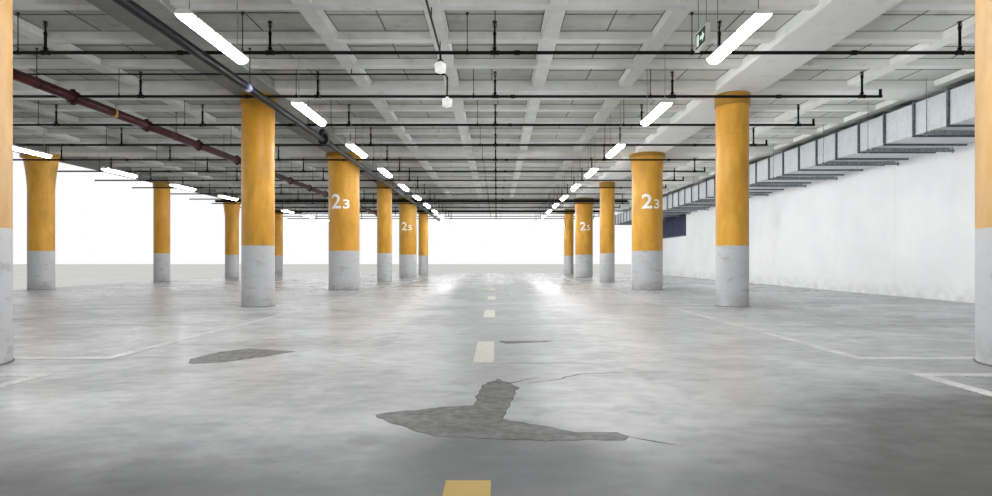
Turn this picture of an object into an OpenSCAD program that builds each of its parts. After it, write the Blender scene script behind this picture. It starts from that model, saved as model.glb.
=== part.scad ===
// One storey of a multi storey car park, six bays long
// X runs across the drive aisle, Y along it and Z up, in millimetres
// The origin lies on the underside of the floor slab, at the middle of the aisle

/* [Grid] */
// Length of one bay along the aisle
bay_l = 5400; // [5000:100:6000]
// Number of bays along the aisle
bay_count = 6; // [2:1:6]
// Distance between the column rows, across the aisle
bay_w = 8100; // [7800:50:8600]
// Distance from the right column row to the inner face of the wall
wall_gap = 4700; // [4500:50:5400]

/* [Slabs and wall] */
// Thickness of the floor slab
floor_t = 250; // [200:10:400]
// Height from the floor to the underside of the deck slab
storey_h = 3760; // [3700:20:4200]
// Thickness of the deck slab over the ribs
deck_t = 180; // [120:10:300]
// Thickness of the perimeter wall
wall_t = 250; // [200:10:400]

/* [Girders and beams] */
// Width of the girders over the column rows
girder_w = 800; // [700:20:1000]
// Width of the beams across, over each column line
beam_w = 600; // [500:20:800]
// Depth of girders and beams below the deck slab
girder_d = 160; // [120:10:300]
// Chamfer along the lower edges of girders and beams
arris = 20; // [5:1:30]

/* [Ceiling ribs] */
// Width of the underside of the ribs that run along the aisle
rib_w = 200; // [150:10:260]
// Distance between the ribs that run along the aisle
rib_pitch = 1440; // [1300:10:1500]
// Width of the underside of the ribs that run across
cross_rib_w = 145; // [100:5:200]
// How much wider a rib is on each side at the deck slab
rib_draft = 25; // [5:5:30]
// Number of ribs across in each bay
cross_ribs = 4; // [3:1:5]
// Depth of all ribs below the deck slab
rib_d = 95; // [60:5:110]

/* [Thick columns] */
// Diameter of the shaft
thick_d = 800; // [700:10:850]
// Diameter of the shaft on the first line
first_d = 710; // [650:10:850]
// Diameter of the neck, just under the rim
thick_neck_d = 880; // [860:10:920]
// Diameter of the rim under the girder
thick_rim_d = 940; // [930:10:1000]
// Height over which the shaft swells to the neck
thick_flare_h = 500; // [300:20:900]
// Height of the rim of every thick column
rim_h = 110; // [60:10:200]

/* [Outer thick columns] */
// Diameter of the shaft in the outer row
outer_d = 590; // [560:10:750]
// Diameter of the neck in the outer row
outer_neck_d = 770; // [760:10:800]
// Diameter of the rim in the outer row
outer_rim_d = 890; // [850:10:950]
// Height over which the outer shaft swells to the neck
outer_flare_h = 900; // [400:20:1100]

/* [Thin columns] */
// Diameter of the shaft
thin_d = 530; // [450:10:650]
// Diameter of the band at the top
thin_band_d = 570; // [560:10:700]
// Height of the band at the top
thin_band_h = 200; // [100:10:300]

/* [Air duct] */
// Width of the duct
duct_w = 1450; // [1000:50:1500]
// Height of the duct
duct_h = 540; // [400:20:600]
// Thickness of the duct's sheet
sheet_t = 3; // [2:0.5:5]
// Clear distance between the duct and the wall
duct_wall_gap = 200; // [150:10:400]
// Distance of the duct's underside below the deck slab
duct_drop = 860; // [760:20:1060]
// Distance between the duct's flanged joints
flange_pitch = 720; // [600:20:1200]
// Distance from the end of the storey to the first flanged joint
flange_first = 90; // [60:10:300]
// How far a flange stands out from the duct
flange_h = 30; // [20:2:40]
// Thickness of a flanged joint, along the duct
flange_t = 40; // [20:2:60]
// Side of the square channel that carries the duct
strut = 41; // [30:1:50]
// Wall of that channel
strut_t = 3; // [2:0.5:5]
// How far the channel reaches past its rods
strut_over = 20; // [15:5:40]
// Clear distance between the duct and these rods
duct_rod_gap = 68; // [50:2:90]
// Diameter of the rods that hold the channel
duct_rod_d = 12; // [8:1:16]

/* [Sprinklers] */
// Diameter of a sprinkler pipe
spr_d = 42; // [25:1:60]
// Distance of the sprinkler pipes' axes below the deck slab
spr_drop = 480; // [460:5:540]
// Number of sprinkler pipes in each bay
spr_per_bay = 3; // [2:1:4]
// Distance of the first pipe past a column line
spr_first = 760; // [500:10:800]
// Distance from the right column row to the end of a sprinkler pipe
spr_reach = 1840; // [1500:20:2400]
// Diameter of the upright stub under a sprinkler head
stub_d = 32; // [20:1:40]
// Height of the stub above its pipe
stub_h = 220; // [100:10:260]
// Height of the last stub of each pipe
end_stub_h = 290; // [200:10:300]
// Distance of the last stub from the end of its pipe
end_stub_back = 300; // [150:10:400]
// Diameter of the head's deflector plate
head_d = 60; // [36:1:70]
// Distance of the deflector plates below the deck slab
head_gap = 110; // [80:5:130]
// Distance of a hanger beside its sprinkler stub
hanger_off = 330; // [200:10:400]

/* [Pipe runs] */
// Diameter of the fire main
main_d = 150; // [120:5:180]
// Distance of the fire main's axis below that of the sprinkler pipes
main_sag = 10; // [0:5:40]
// Distance of the fire main from the rib beside it
main_off = 365; // [200:5:500]
// Diameter of the collars where sprinkler pipes leave the fire main
coupling_d = 190; // [185:5:220]
// Length of such a collar
coupling_l = 90; // [60:5:140]
// Diameter of the trunk pipe
trunk_d = 110; // [80:5:140]
// Clear height between the trunk pipe and the sprinkler pipes above it
trunk_gap = 14; // [10:2:60]
// Distance of the trunk pipe from the left girder
trunk_off = 210; // [180:10:400]
// Diameter of the trunk pipe's flanges
trunk_flange_d = 200; // [180:5:230]
// Thickness of the flanged joint
trunk_flange_t = 50; // [30:2:80]
// Distance of the flanged joint past the second column line
valve_off = 1630; // [1500:10:2000]
// Diameter of the bypass over the flanged joint
bypass_d = 100; // [60:5:110]
// Radius of the bypass bend
bypass_r = 170; // [150:5:200]
// Diameter of the mains that run across
cross_d = 120; // [80:5:130]
// Clear height between these mains and the fire main under them
cross_gap = 15; // [10:1:30]
// Distance of these mains before a column line
cross_back = 700; // [650:10:800]
// Diameter of the rods that carry pipes
rod_d = 10; // [6:1:16]
// Width of the clamp bands round the pipes
band_w = 30; // [15:1:50]
// Thickness of the clamp bands
band_t = 4; // [2:0.5:8]
// Diameter of the plate at the top of a rod
plate_d = 44; // [30:2:80]
// Thickness of that plate
plate_t = 6; // [4:1:12]

/* [Lamps] */
// Length of a lamp
lamp_l = 1100; // [900:50:1500]
// Width of a lamp
lamp_w = 140; // [80:5:160]
// How much narrower the housing is on each side at its top
housing_fold = 30; // [10:5:38]
// Height of the steel housing of a lamp
housing_h = 45; // [30:1:60]
// Depth of the diffuser below the housing
diffuser_h = 50; // [30:1:60]
// Distance of the lamps' underside below the deck slab
lamp_drop = 920; // [800:10:1060]
// Number of lamps in each bay and row
lamps_per_bay = 2; // [1:1:2]
// Distance of the first lamp past a column line
lamp_first = 1150; // [1100:10:1200]
// Distance between the two rods of a lamp
lamp_rod_gap = 900; // [820:10:960]
// Diameter of a lamp's rods
lamp_rod_d = 8; // [5:1:12]
// Clear distance of the left lamp row's rods from the rib beside them
lamp_left_off = 365; // [200:5:600]
// Clear distance of the right lamp row's rods from the rib beside them
lamp_right_off = 15; // [10:5:300]
// Clear distance of the outer lamp row's rods from the rib beside them
lamp_outer_off = 55; // [40:5:300]

/* [Signs and detectors] */
// Length of the exit sign
sign_l = 320; // [280:10:500]
// Height of the exit sign
sign_h = 190; // [150:10:260]
// Thickness of the exit sign
sign_t = 40; // [20:2:60]
// Distance of the exit sign's underside below the deck slab
sign_drop = 695; // [600:5:800]
// Distance of the exit sign's middle past the first column line
sign_y = 1810; // [1600:10:2100]
// Distance of the exit sign from the middle of its rib
sign_off = 60; // [-80:10:80]
// Length of the board on the wall
board_l = 4300; // [2000:100:5000]
// Height of the board on the wall
board_h = 1100; // [600:50:1200]
// Thickness of the board on the wall
board_t = 40; // [20:5:40]
// Height of the board's underside above the floor
board_z = 1900; // [1200:50:2000]
// Diameter of a pendent detector
detector_d = 155; // [100:5:200]
// Height of the detector's body, under its stem
detector_h = 120; // [80:5:160]
// Diameter of the detector's stem
stem_d = 50; // [40:2:60]
// Height of the detector's stem
stem_h = 45; // [30:5:60]
// Diameter of the conduits
conduit_d = 26; // [16:1:32]
// Distance of the near detector past the first column line
detector_near = 3230; // [3000:10:3600]
// Distance of the far detector past the first column line
detector_far = 4250; // [4000:10:4700]
// Drop of the near conduit below the ribs
conduit_drop = 135; // [100:5:180]
// Length of the near detector's drop tube
near_tube = 105; // [60:5:200]
// Length of the far detector's drop tube
far_tube = 330; // [100:10:400]
// Radius of the far conduit's bend
bend_r = 60; // [45:5:100]
// Wall of the couplers where a conduit turns down
coupler_wall = 5; // [4:1:8]
// Length of a coupler
coupler_l = 30; // [20:2:40]

/* [Floor markings] */
// Width of the white lines
line_w = 100; // [80:10:150]
// Thickness of the paint
paint_t = 3; // [1:1:5]
// Distance of the left aisle line from the middle of the aisle
line_left = 3040; // [2900:10:3200]
// Distance of the right aisle line from the middle of the aisle
line_right = 2880; // [2800:10:3200]
// Width of the unmarked strip at each column line
column_strip = 560; // [500:10:900]
// Length of a parking stall
stall_l = 5060; // [4800:10:5200]
// Clear distance between a line and a column
line_gap = 30; // [10:5:60]
// Width of the dashes at the middle of the aisle
dash_w = 160; // [100:10:200]
// Length of a dash
dash_l = 1100; // [800:50:1500]
// Distance between the starts of the dashes
dash_pitch = 3400; // [3000:100:4000]
// Distance of the dashes left of the aisle's middle
dash_off = 80; // [0:10:200]
// Distance of the first whole dash past the first column line
dash_first = 130; // [0:10:300]

/* [Hidden] */
$fn = 48;

concrete = "#BDBDB6";
floor_grey = "#A9A9A7";
ochre = "#D79A3C";
white_paint = "#E4E4E2";
zinc = "#C2C8CC";
dark_steel = "#2A2422";
maroon = "#5A2428";
slate = "#3A3A46";
lamp_white = "#FAFAF7";
navy = "#2A2C55";
sign_green = "#1F6B45";
dash_yellow = "#D8C48A";

// Levels of the floor and of the undersides above it
floor_top = floor_t;
deck_z = floor_top + storey_h;
girder_z = deck_z - girder_d;
rib_z = deck_z - rib_d;

// Column rows and the edges of the storey, across the aisle
row_left = -bay_w / 2;
row_right = bay_w / 2;
row_outer = row_left - bay_w;
edge_left = row_outer - girder_w / 2;
wall_x = row_right + wall_gap;
edge_right = wall_x + wall_t;
run_l = bay_count * bay_l;
end_y = run_l / 2;

// Middles of the left strip and of the strip that the wall cuts short
strip_left = -bay_w;
strip_right = bay_w;
RIB_SIDES = [-1.5, -0.5, 0.5, 1.5];
rib_foot = rib_w / 2 + rib_draft;
coffer_l = (bay_l - beam_w - cross_ribs * cross_rib_w) / (cross_ribs + 1);

// Small clearance between a clamp and its pipe, and the overlap that cuts need
clamp_gap = 0.3;
cut = 10;
FLARE_STEPS = 6;
DEFLECTOR_T = 4;

// Places of the services
main_x = strip_left + 1.5 * rib_pitch - rib_foot - main_off;
trunk_x = row_left + girder_w / 2 + trunk_off;
lamp_left_x = -1.5 * rib_pitch - rib_foot - lamp_left_off;
lamp_right_x = 1.5 * rib_pitch + rib_foot + lamp_right_off;
lamp_outer_x = strip_left - 0.5 * rib_pitch - rib_foot - lamp_outer_off;
sign_x = 1.5 * rib_pitch + sign_off;
detector_x = -0.5 * rib_pitch;
duct_far = wall_x - duct_wall_gap;
duct_near = duct_far - duct_w;
duct_low = deck_z - duct_drop;
duct_high = duct_low + duct_h;
strut_z = duct_low - flange_h - strut;
rod_near = clear_of_ribs(duct_near - duct_rod_gap - duct_rod_d / 2, -1);
rod_far = clear_of_ribs(duct_far + duct_rod_gap + duct_rod_d / 2, 1);
spr_pitch = bay_l / spr_per_bay;
spr_end = row_right + spr_reach;
head_pitch = bay_w / 3;
lamp_pitch = bay_l / lamps_per_bay;
housing_low = deck_z - lamp_drop + diffuser_h;
sign_low = deck_z - sign_drop;

// Levels of the pipes' axes, each run tied to the one that it passes
spr_z = deck_z - spr_drop;
main_z = spr_z - main_sag;
trunk_z = spr_z - (spr_d + trunk_d) / 2 - trunk_gap;
cross_z = main_z + (main_d + cross_d) / 2 + cross_gap;
valve_y = line_y(2) + valve_off;

// Place of column line k, counted from 1 at the near end
function line_y(k) = (k - (bay_count + 1) / 2) * bay_l;

// Middle of coffer c behind line k, counted from 0
function coffer_y(k, c) = line_y(k) + beam_w / 2 + (c + 0.5) * coffer_l + c * cross_rib_w;

// Middle of cross rib r behind line k, counted from 0
function cross_rib_y(k, r) = line_y(k) + beam_w / 2 + (r + 1) * coffer_l + (r + 0.5) * cross_rib_w;

// Middles of the ribs along the aisle, in the strip on strip_x that ends at x1
function rib_places(strip_x, x1) =
    [for (side = RIB_SIDES) let (x = strip_x + side * rib_pitch) if (x + rib_foot < x1) x];

// Place x, moved past the foot of a rib in the wall's strip where one stands in a rod's way
function clear_of_ribs(x, way) =
    let (room = rib_foot + 2 * duct_rod_d,
         near = [for (rib_x = rib_places(strip_right, wall_x)) if (abs(rib_x - x) < room) rib_x])
    len(near) > 0 ? near[0] + way * room : x;

// True where a piece that reaches half_l each way lies on the storey
function on_storey(y, half_l) = abs(y) + half_l <= end_y;

// Middles of the coffers c_list behind every line, where a hanger finds room
function coffer_places(c_list) =
    [for (k = [0 : bay_count], c = c_list) if (on_storey(coffer_y(k, c), plate_d)) coffer_y(k, c)];

// Every place that repeats within the bays at offset first and distance pitch
function repeats(first, pitch, half_l) =
    [for (i = [0 : floor(run_l / pitch) + 1])
        let (y = line_y(0) + first + i * pitch) if (on_storey(y, half_l)) y];

sprinkler_places = repeats(spr_first, spr_pitch, spr_d);
lamp_places = repeats(lamp_first, lamp_pitch, lamp_l / 2);
main_hang_places = coffer_places([1, cross_ribs - 1]);
trunk_hang_places = coffer_places([0, cross_ribs - 1]);

// Middle of the gap between two duct flanges that lies nearest to y
function flange_gap_y(y) =
    -end_y + flange_first + flange_pitch * (floor((y + end_y - flange_first) / flange_pitch) + 0.5);

module box(x0, x1, y0, y1, z0, z1) {
    translate([x0, y0, z0]) cube([x1 - x0, y1 - y0, z1 - z0]);
}

module post(x, y, z0, z1, d) {
    translate([x, y, z0]) cylinder(d = d, h = z1 - z0);
}

module pipe_across(x0, x1, y, z, d) {
    translate([x0, y, z]) rotate([0, 90, 0]) cylinder(d = d, h = x1 - x0);
}

module pipe_along(x, y0, y1, z, d) {
    translate([x, y0, z]) rotate([-90, 0, 0]) cylinder(d = d, h = y1 - y0);
}

// Cross-section of a girder or beam, hung under z = 0, with chamfered lower edges
module girder_section(w, d) {
    polygon([[-w / 2, 0], [-w / 2, arris - d], [arris - w / 2, -d],
             [w / 2 - arris, -d], [w / 2, arris - d], [w / 2, 0]]);
}

module floor_slab() {
    color(floor_grey) box(edge_left, edge_right, -end_y, end_y, 0, floor_top);
}

module deck_slab() {
    color(concrete) box(edge_left, edge_right, -end_y, end_y, deck_z, deck_z + deck_t);
}

module girder(row_x) {
    color(concrete)
        translate([row_x, end_y, deck_z])
            rotate([90, 0, 0])
                linear_extrude(run_l) girder_section(girder_w, girder_d);
}

// Beams over every column line, from x0 to x1
module beams(x0, x1) {
    color(concrete)
        for (k = [1 : bay_count])
            translate([x0, line_y(k), deck_z])
                rotate([90, 0, 90])
                    linear_extrude(x1 - x0) girder_section(beam_w, girder_d);
}

// Cross-section of a rib, hung under z = 0, tapered as its form has to come out
module rib_section(w) {
    polygon([[-w / 2 - rib_draft, 0], [-w / 2, -rib_d], [w / 2, -rib_d], [w / 2 + rib_draft, 0]]);
}

// Lattice of ribs between two girders, with room for the beams left open
module ribs(x0, x1, strip_x) {
    color(concrete)
        difference() {
            union() {
                for (x = rib_places(strip_x, x1))
                    translate([x, end_y, deck_z])
                        rotate([90, 0, 0])
                            linear_extrude(run_l) rib_section(rib_w);
                for (k = [0 : bay_count], r = [0 : cross_ribs - 1])
                    if (on_storey(cross_rib_y(k, r), cross_rib_w / 2 + rib_draft))
                        translate([x0, cross_rib_y(k, r), deck_z])
                            rotate([90, 0, 90])
                                linear_extrude(x1 - x0) rib_section(cross_rib_w);
            }
            for (k = [1 : bay_count])
                box(x0 - cut, x1 + cut, line_y(k) - beam_w / 2, line_y(k) + beam_w / 2,
                    rib_z - cut, deck_z + cut);
        }
}

// Radius at step s of the swelling from a shaft to its neck
function flare_r(shaft_d, neck_d, s) =
    (shaft_d + (neck_d - shaft_d) * (1 - cos(90 * s / FLARE_STEPS))) / 2;

// Round column whose shaft swells to a neck under a plain rim
module flared_column(shaft_d, neck_d, rim_d, flare_h) {
    top = girder_z - floor_top;
    flare_z = top - rim_h - flare_h;
    rotate_extrude()
        polygon(concat(
            [[0, 0], [shaft_d / 2, 0]],
            [for (s = [0 : FLARE_STEPS])
                [flare_r(shaft_d, neck_d, s), flare_z + flare_h * s / FLARE_STEPS]],
            [[rim_d / 2, top - rim_h], [rim_d / 2, top], [0, top]]));
}

module thin_column() {
    top = girder_z - floor_top;
    rotate_extrude()
        polygon([[0, 0], [thin_d / 2, 0], [thin_d / 2, top - thin_band_h],
                 [thin_band_d / 2, top - thin_band_h], [thin_band_d / 2, top], [0, top]]);
}

// Diameter of the shaft on line k of a row: thick on the odd lines and thin on the even ones
function shaft_d(k, row_x) =
    k % 2 == 0 ? thin_d : row_x == row_outer ? outer_d : k == 1 ? first_d : thick_d;

module columns_line(k) {
    color(ochre)
        for (row_x = [row_outer, row_left, row_right])
            translate([row_x, line_y(k), floor_top])
                if (k % 2 == 0)
                    thin_column();
                else if (row_x == row_outer)
                    flared_column(shaft_d(k, row_x), outer_neck_d, outer_rim_d, outer_flare_h);
                else
                    flared_column(shaft_d(k, row_x), thick_neck_d, thick_rim_d, thick_flare_h);
}

module perimeter_wall() {
    color(white_paint) box(wall_x, edge_right, -end_y, end_y, floor_top, deck_z);
}

// The board hangs behind the last thick column line that has a full bay behind it
module wall_board() {
    y0 = line_y(bay_count - 1);
    color(navy)
        box(wall_x - board_t, wall_x, y0, y0 + board_l, floor_top + board_z,
            floor_top + board_z + board_h);
}

module duct_flat_sheets() {
    color(zinc) {
        box(duct_near, duct_far, -end_y, end_y, duct_low, duct_low + sheet_t);
        box(duct_near, duct_far, -end_y, end_y, duct_high - sheet_t, duct_high);
    }
}

module duct_side_sheets() {
    color(zinc)
        for (x0 = [duct_near, duct_far - sheet_t])
            box(x0, x0 + sheet_t, -end_y, end_y, duct_low + sheet_t, duct_high - sheet_t);
}

// One flanged joint, a frame that goes right round the duct
module duct_flange() {
    rotate([90, 0, 0])
        linear_extrude(flange_t, center = true)
            difference() {
                translate([duct_near - flange_h, duct_low - flange_h])
                    square([duct_w + 2 * flange_h, duct_h + 2 * flange_h]);
                translate([duct_near, duct_low]) square([duct_w, duct_h]);
            }
}

module duct_flanges() {
    color(zinc)
        for (y = [-end_y + flange_first : flange_pitch : end_y - flange_t / 2])
            translate([0, y, 0]) duct_flange();
}

duct_hang_places = [for (y = coffer_places([0 : 2 : cross_ribs])) flange_gap_y(y)];

// Channel under the duct, open downwards, with a packer that fills the flange's depth
module duct_struts() {
    x0 = rod_near - strut_over;
    x1 = rod_far + strut_over;
    color(zinc)
        for (y = duct_hang_places) {
            translate([x0, y, strut_z])
                rotate([90, 0, 90])
                    linear_extrude(x1 - x0)
                        difference() {
                            translate([-strut / 2, 0]) square(strut);
                            translate([strut_t - strut / 2, -cut])
                                square([strut - 2 * strut_t, strut - strut_t + cut]);
                        }
            box(duct_near, duct_far, y - strut / 2, y + strut / 2, strut_z + strut, duct_low);
        }
}

module duct_rods() {
    color(zinc)
        for (y = duct_hang_places, x = [rod_near, rod_far]) {
            post(x, y, strut_z + strut, deck_z, duct_rod_d);
            post(x, y, strut_z + strut, strut_z + strut + duct_rod_d, 2 * duct_rod_d);
        }
}

// Upright sprinkler on its stub, with its deflector plate near the deck slab
module sprinkler_head(x, y, rise) {
    top = spr_z + spr_d / 2 + rise;
    plate_z = deck_z - head_gap;
    post(x, y, spr_z, top, stub_d);
    post(x, y, top, plate_z, stub_d * 0.6);
    post(x, y, plate_z, plate_z + DEFLECTOR_T, head_d);
    post(x, y, plate_z, plate_z + 3 * DEFLECTOR_T, stub_d * 0.6);
}

// Branch pipe with its heads, let into the side of the fire main that feeds it
module sprinkler_pipe(y) {
    difference() {
        union() {
            pipe_across(edge_left, spr_end, y, spr_z, spr_d);
            post(spr_end - spr_d / 2, y, spr_z, spr_z + stub_h / 2, spr_d);
            for (k = [-4 : 1]) sprinkler_head(k * head_pitch, y, stub_h);
            sprinkler_head(spr_end - end_stub_back, y, end_stub_h);
        }
        pipe_along(main_x, y - spr_d, y + spr_d, main_z, coupling_d);
    }
}

// A third of the sprinkler pipes, part 1 to 3 from the near end
module sprinkler_pipes(part) {
    share = len(sprinkler_places) / 3;
    color(dark_steel)
        for (i = [0 : len(sprinkler_places) - 1])
            if (floor(i / share) == part - 1) sprinkler_pipe(sprinkler_places[i]);
}

// Clamp band round a pipe of diameter d, with its rod and plate up to the deck slab
module hanger(x, y, z, d, across) {
    inner = d + 2 * clamp_gap;
    translate([x, y, z])
        rotate(across ? [0, 90, 0] : [90, 0, 0])
            difference() {
                cylinder(d = inner + 2 * band_t, h = band_w, center = true);
                cylinder(d = inner, h = band_w + cut, center = true);
            }
    post(x, y, z + inner / 2 + band_t / 2, deck_z, rod_d);
    post(x, y, deck_z - plate_t, deck_z, plate_d);
}

module sprinkler_hangers() {
    color(dark_steel)
        for (k = [-4 : 1]) {
            x = k * head_pitch - hanger_off;
            for (y = sprinkler_places) hanger(x, y, spr_z, spr_d, true);
            for (n = [bay_count - 1, bay_count])
                hanger(x, line_y(n) - cross_back, cross_z, cross_d, true);
        }
}

module cross_mains() {
    color(dark_steel)
        for (n = [bay_count - 1, bay_count])
            pipe_across(edge_left, spr_end, line_y(n) - cross_back, cross_z, cross_d);
}

module fire_main() {
    color(maroon) {
        pipe_along(main_x, -end_y, end_y, main_z, main_d);
        for (y = sprinkler_places)
            pipe_along(main_x, y - coupling_l / 2, y + coupling_l / 2, main_z, coupling_d);
    }
}

// Trunk pipe with a flanged joint and its bypass behind the second column line
module trunk_pipe() {
    color(slate) {
        pipe_along(trunk_x, -end_y, end_y, trunk_z, trunk_d);
        pipe_along(trunk_x, valve_y - trunk_flange_t / 2, valve_y + trunk_flange_t / 2, trunk_z,
                   trunk_flange_d);
        translate([trunk_x, valve_y, trunk_z])
            rotate([90, 0, 90])
                rotate_extrude(angle = 180) translate([bypass_r, 0]) circle(d = bypass_d);
    }
}

module main_hangers() {
    color(dark_steel) {
        for (y = main_hang_places) hanger(main_x, y, main_z, main_d, false);
        for (y = trunk_hang_places) hanger(trunk_x, y, trunk_z, trunk_d, false);
    }
}

// Steel housing of a lamp, folded in towards its top
module lamp_housings(row_x) {
    half_w = lamp_w / 2;
    color(white_paint)
        for (y = lamp_places)
            translate([row_x, y + lamp_l / 2, housing_low])
                rotate([90, 0, 0])
                    linear_extrude(lamp_l)
                        polygon([[-half_w, 0], [half_w, 0], [half_w, housing_h / 3],
                                 [half_w - housing_fold, housing_h],
                                 [housing_fold - half_w, housing_h], [-half_w, housing_h / 3]]);
}

// Diffuser of a lamp, a vault that hangs under the housing
module lamp_diffusers(row_x) {
    vault_r = (lamp_w * lamp_w / 4 + diffuser_h * diffuser_h) / (2 * diffuser_h);
    color(lamp_white)
        for (y = lamp_places)
            translate([row_x, y + lamp_l / 2, housing_low])
                rotate([90, 0, 0])
                    linear_extrude(lamp_l)
                        intersection() {
                            translate([0, vault_r - diffuser_h]) circle(vault_r);
                            translate([-lamp_w / 2, -diffuser_h]) square([lamp_w, diffuser_h]);
                        }
}

module lamp_rods() {
    color(zinc)
        for (row_x = [lamp_left_x, lamp_right_x, lamp_outer_x], y = lamp_places, side = [-1, 1])
            post(row_x, y + side * lamp_rod_gap / 2, housing_low + housing_h, deck_z, lamp_rod_d);
}

module exit_sign() {
    y = line_y(1) + sign_y;
    color(sign_green)
        box(sign_x - sign_t / 2, sign_x + sign_t / 2, y - sign_l / 2, y + sign_l / 2,
            sign_low, sign_low + sign_h);
}

module exit_sign_rods() {
    y = line_y(1) + sign_y;
    color(zinc)
        for (side = [-1, 1])
            post(sign_x, y + side * sign_l * 0.36, sign_low + sign_h, rib_z, lamp_rod_d);
}

// The far conduit's couplers touch the underside of the girders, the near one is lower than the ribs
coupler_d = conduit_d + 2 * coupler_wall;
near_low = rib_z - conduit_drop - near_tube;
far_level = girder_z - coupler_d / 2;
far_low = far_level - far_tube;

// Detector whose stem starts at height z: a stem over a tapered round body
module detector(y, z) {
    translate([detector_x, y, z - detector_h - stem_h])
        rotate_extrude()
            polygon([[0, 0], [detector_d * 0.22, 0], [detector_d * 0.34, detector_h * 0.12],
                     [detector_d / 2, detector_h * 0.75], [detector_d / 2, detector_h * 0.88],
                     [detector_d * 0.44, detector_h], [stem_d / 2, detector_h],
                     [stem_d * 0.4, detector_h + stem_h], [0, detector_h + stem_h]]);
}

module detectors() {
    color(white_paint) {
        detector(line_y(1) + detector_near, near_low);
        detector(line_y(1) + detector_far, far_low);
    }
}

module detector_conduits() {
    near_y = line_y(1) + detector_near;
    far_y = line_y(1) + detector_far;
    near_z = rib_z - conduit_drop;
    color(dark_steel) {
        pipe_along(detector_x, -end_y, near_y, near_z, conduit_d);
        post(detector_x, near_y, near_z - coupler_d / 2, near_z + coupler_d / 2, coupler_d);
        post(detector_x, near_y, near_low, near_z - coupler_d / 2, conduit_d);
        for (k = [0, 1], r = [0 : cross_ribs - 1])
            if (on_storey(cross_rib_y(k, r), conduit_d) && cross_rib_y(k, r) < near_y)
                post(detector_x, cross_rib_y(k, r), near_z, rib_z, conduit_d / 2);
        pipe_across(edge_left, detector_x - bend_r, far_y, far_level, conduit_d);
        translate([detector_x - bend_r, far_y, far_level - bend_r])
            rotate([90, 0, 0])
                rotate_extrude(angle = 90) translate([bend_r, 0]) circle(d = conduit_d);
        post(detector_x, far_y, far_low, far_level - bend_r, conduit_d);
        pipe_across(detector_x - bend_r - coupler_l / 2, detector_x - bend_r + coupler_l / 2, far_y,
                    far_level, coupler_d);
        post(detector_x, far_y, far_level - bend_r - coupler_l / 2,
             far_level - bend_r + coupler_l / 2, coupler_d);
        for (side = RIB_SIDES)
            if (side < -0.5)
                post(side * rib_pitch, far_y, far_level, rib_z, conduit_d / 2);
    }
}

// White lines: aisle line, stall dividers and the line between back to back stalls
module stall_lines(aisle_x, far_x, side) {
    x0 = min(aisle_x, far_x);
    x1 = max(aisle_x, far_x);
    for (k = [0 : bay_count]) {
        y0 = max(line_y(k) + column_strip / 2, -end_y);
        y1 = min(line_y(k + 1) - column_strip / 2, end_y);
        mid = line_y(k) + bay_l / 2;
        translate([side > 0 ? x0 : x1 - line_w, y0]) square([line_w, y1 - y0]);
        for (y = [y0, mid - line_w / 2, y1 - line_w])
            if (on_storey(y + line_w / 2, line_w))
                translate([x0, y]) square([x1 - x0, line_w]);
    }
}

module parking_lines() {
    color(white_paint)
        translate([0, 0, floor_top])
            linear_extrude(paint_t)
                difference() {
                    union() {
                        stall_lines(-line_left, edge_left, -1);
                        stall_lines(line_right, line_right + stall_l, 1);
                        translate([-line_left - stall_l - line_w / 2, -end_y])
                            square([line_w, run_l]);
                    }
                    for (k = [1 : bay_count], row_x = [row_outer, row_left, row_right])
                        translate([row_x, line_y(k)])
                            circle(d = shaft_d(k, row_x) + 2 * line_gap);
                }
}

module lane_dashes() {
    first = line_y(1) + dash_first;
    color(dash_yellow)
        for (i = [-1 : ceil(run_l / dash_pitch)]) {
            y0 = max(first + i * dash_pitch, -end_y);
            y1 = min(first + i * dash_pitch + dash_l, end_y);
            if (y1 > y0)
                box(-dash_off - dash_w / 2, -dash_off + dash_w / 2, y0, y1, floor_top,
                    floor_top + paint_t);
        }
}

floor_slab();
deck_slab();
girder(row_left);  // girder_left
girder(row_right);  // girder_right
girder(row_outer);  // girder_outer
beams(row_outer + girder_w / 2, row_left - girder_w / 2);  // beams_left
beams(row_left + girder_w / 2, row_right - girder_w / 2);  // beams_aisle
beams(row_right + girder_w / 2, wall_x);  // beams_right
ribs(row_outer + girder_w / 2, row_left - girder_w / 2, strip_left);  // ribs_left
ribs(row_left + girder_w / 2, row_right - girder_w / 2, 0);  // ribs_aisle
ribs(row_right + girder_w / 2, wall_x, strip_right);  // ribs_right
columns_line(1);  // columns_line_1
columns_line(2);  // columns_line_2
columns_line(3);  // columns_line_3
columns_line(4);  // columns_line_4
columns_line(5);  // columns_line_5
columns_line(6);  // columns_line_6
perimeter_wall();
wall_board();
duct_flat_sheets();
duct_side_sheets();
duct_flanges();
duct_struts();
duct_rods();
sprinkler_pipes(1);  // sprinkler_pipes_1
sprinkler_pipes(2);  // sprinkler_pipes_2
sprinkler_pipes(3);  // sprinkler_pipes_3
sprinkler_hangers();
cross_mains();
fire_main();
trunk_pipe();
main_hangers();
lamp_housings(lamp_left_x);  // lamp_housings_left
lamp_housings(lamp_right_x);  // lamp_housings_right
lamp_housings(lamp_outer_x);  // lamp_housings_outer
lamp_diffusers(lamp_left_x);  // lamp_diffusers_left
lamp_diffusers(lamp_right_x);  // lamp_diffusers_right
lamp_diffusers(lamp_outer_x);  // lamp_diffusers_outer
lamp_rods();
exit_sign();
exit_sign_rods();
detectors();
detector_conduits();
parking_lines();
lane_dashes();
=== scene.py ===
"""The looks of one storey of a multi storey car park, six bays long.

X runs across the drive aisle, Y along it and Z up, in metres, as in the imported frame.
"""

import logging
import math
from dataclasses import dataclass
from enum import Enum
from itertools import product
from typing import Iterable, Sequence, Union

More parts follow.
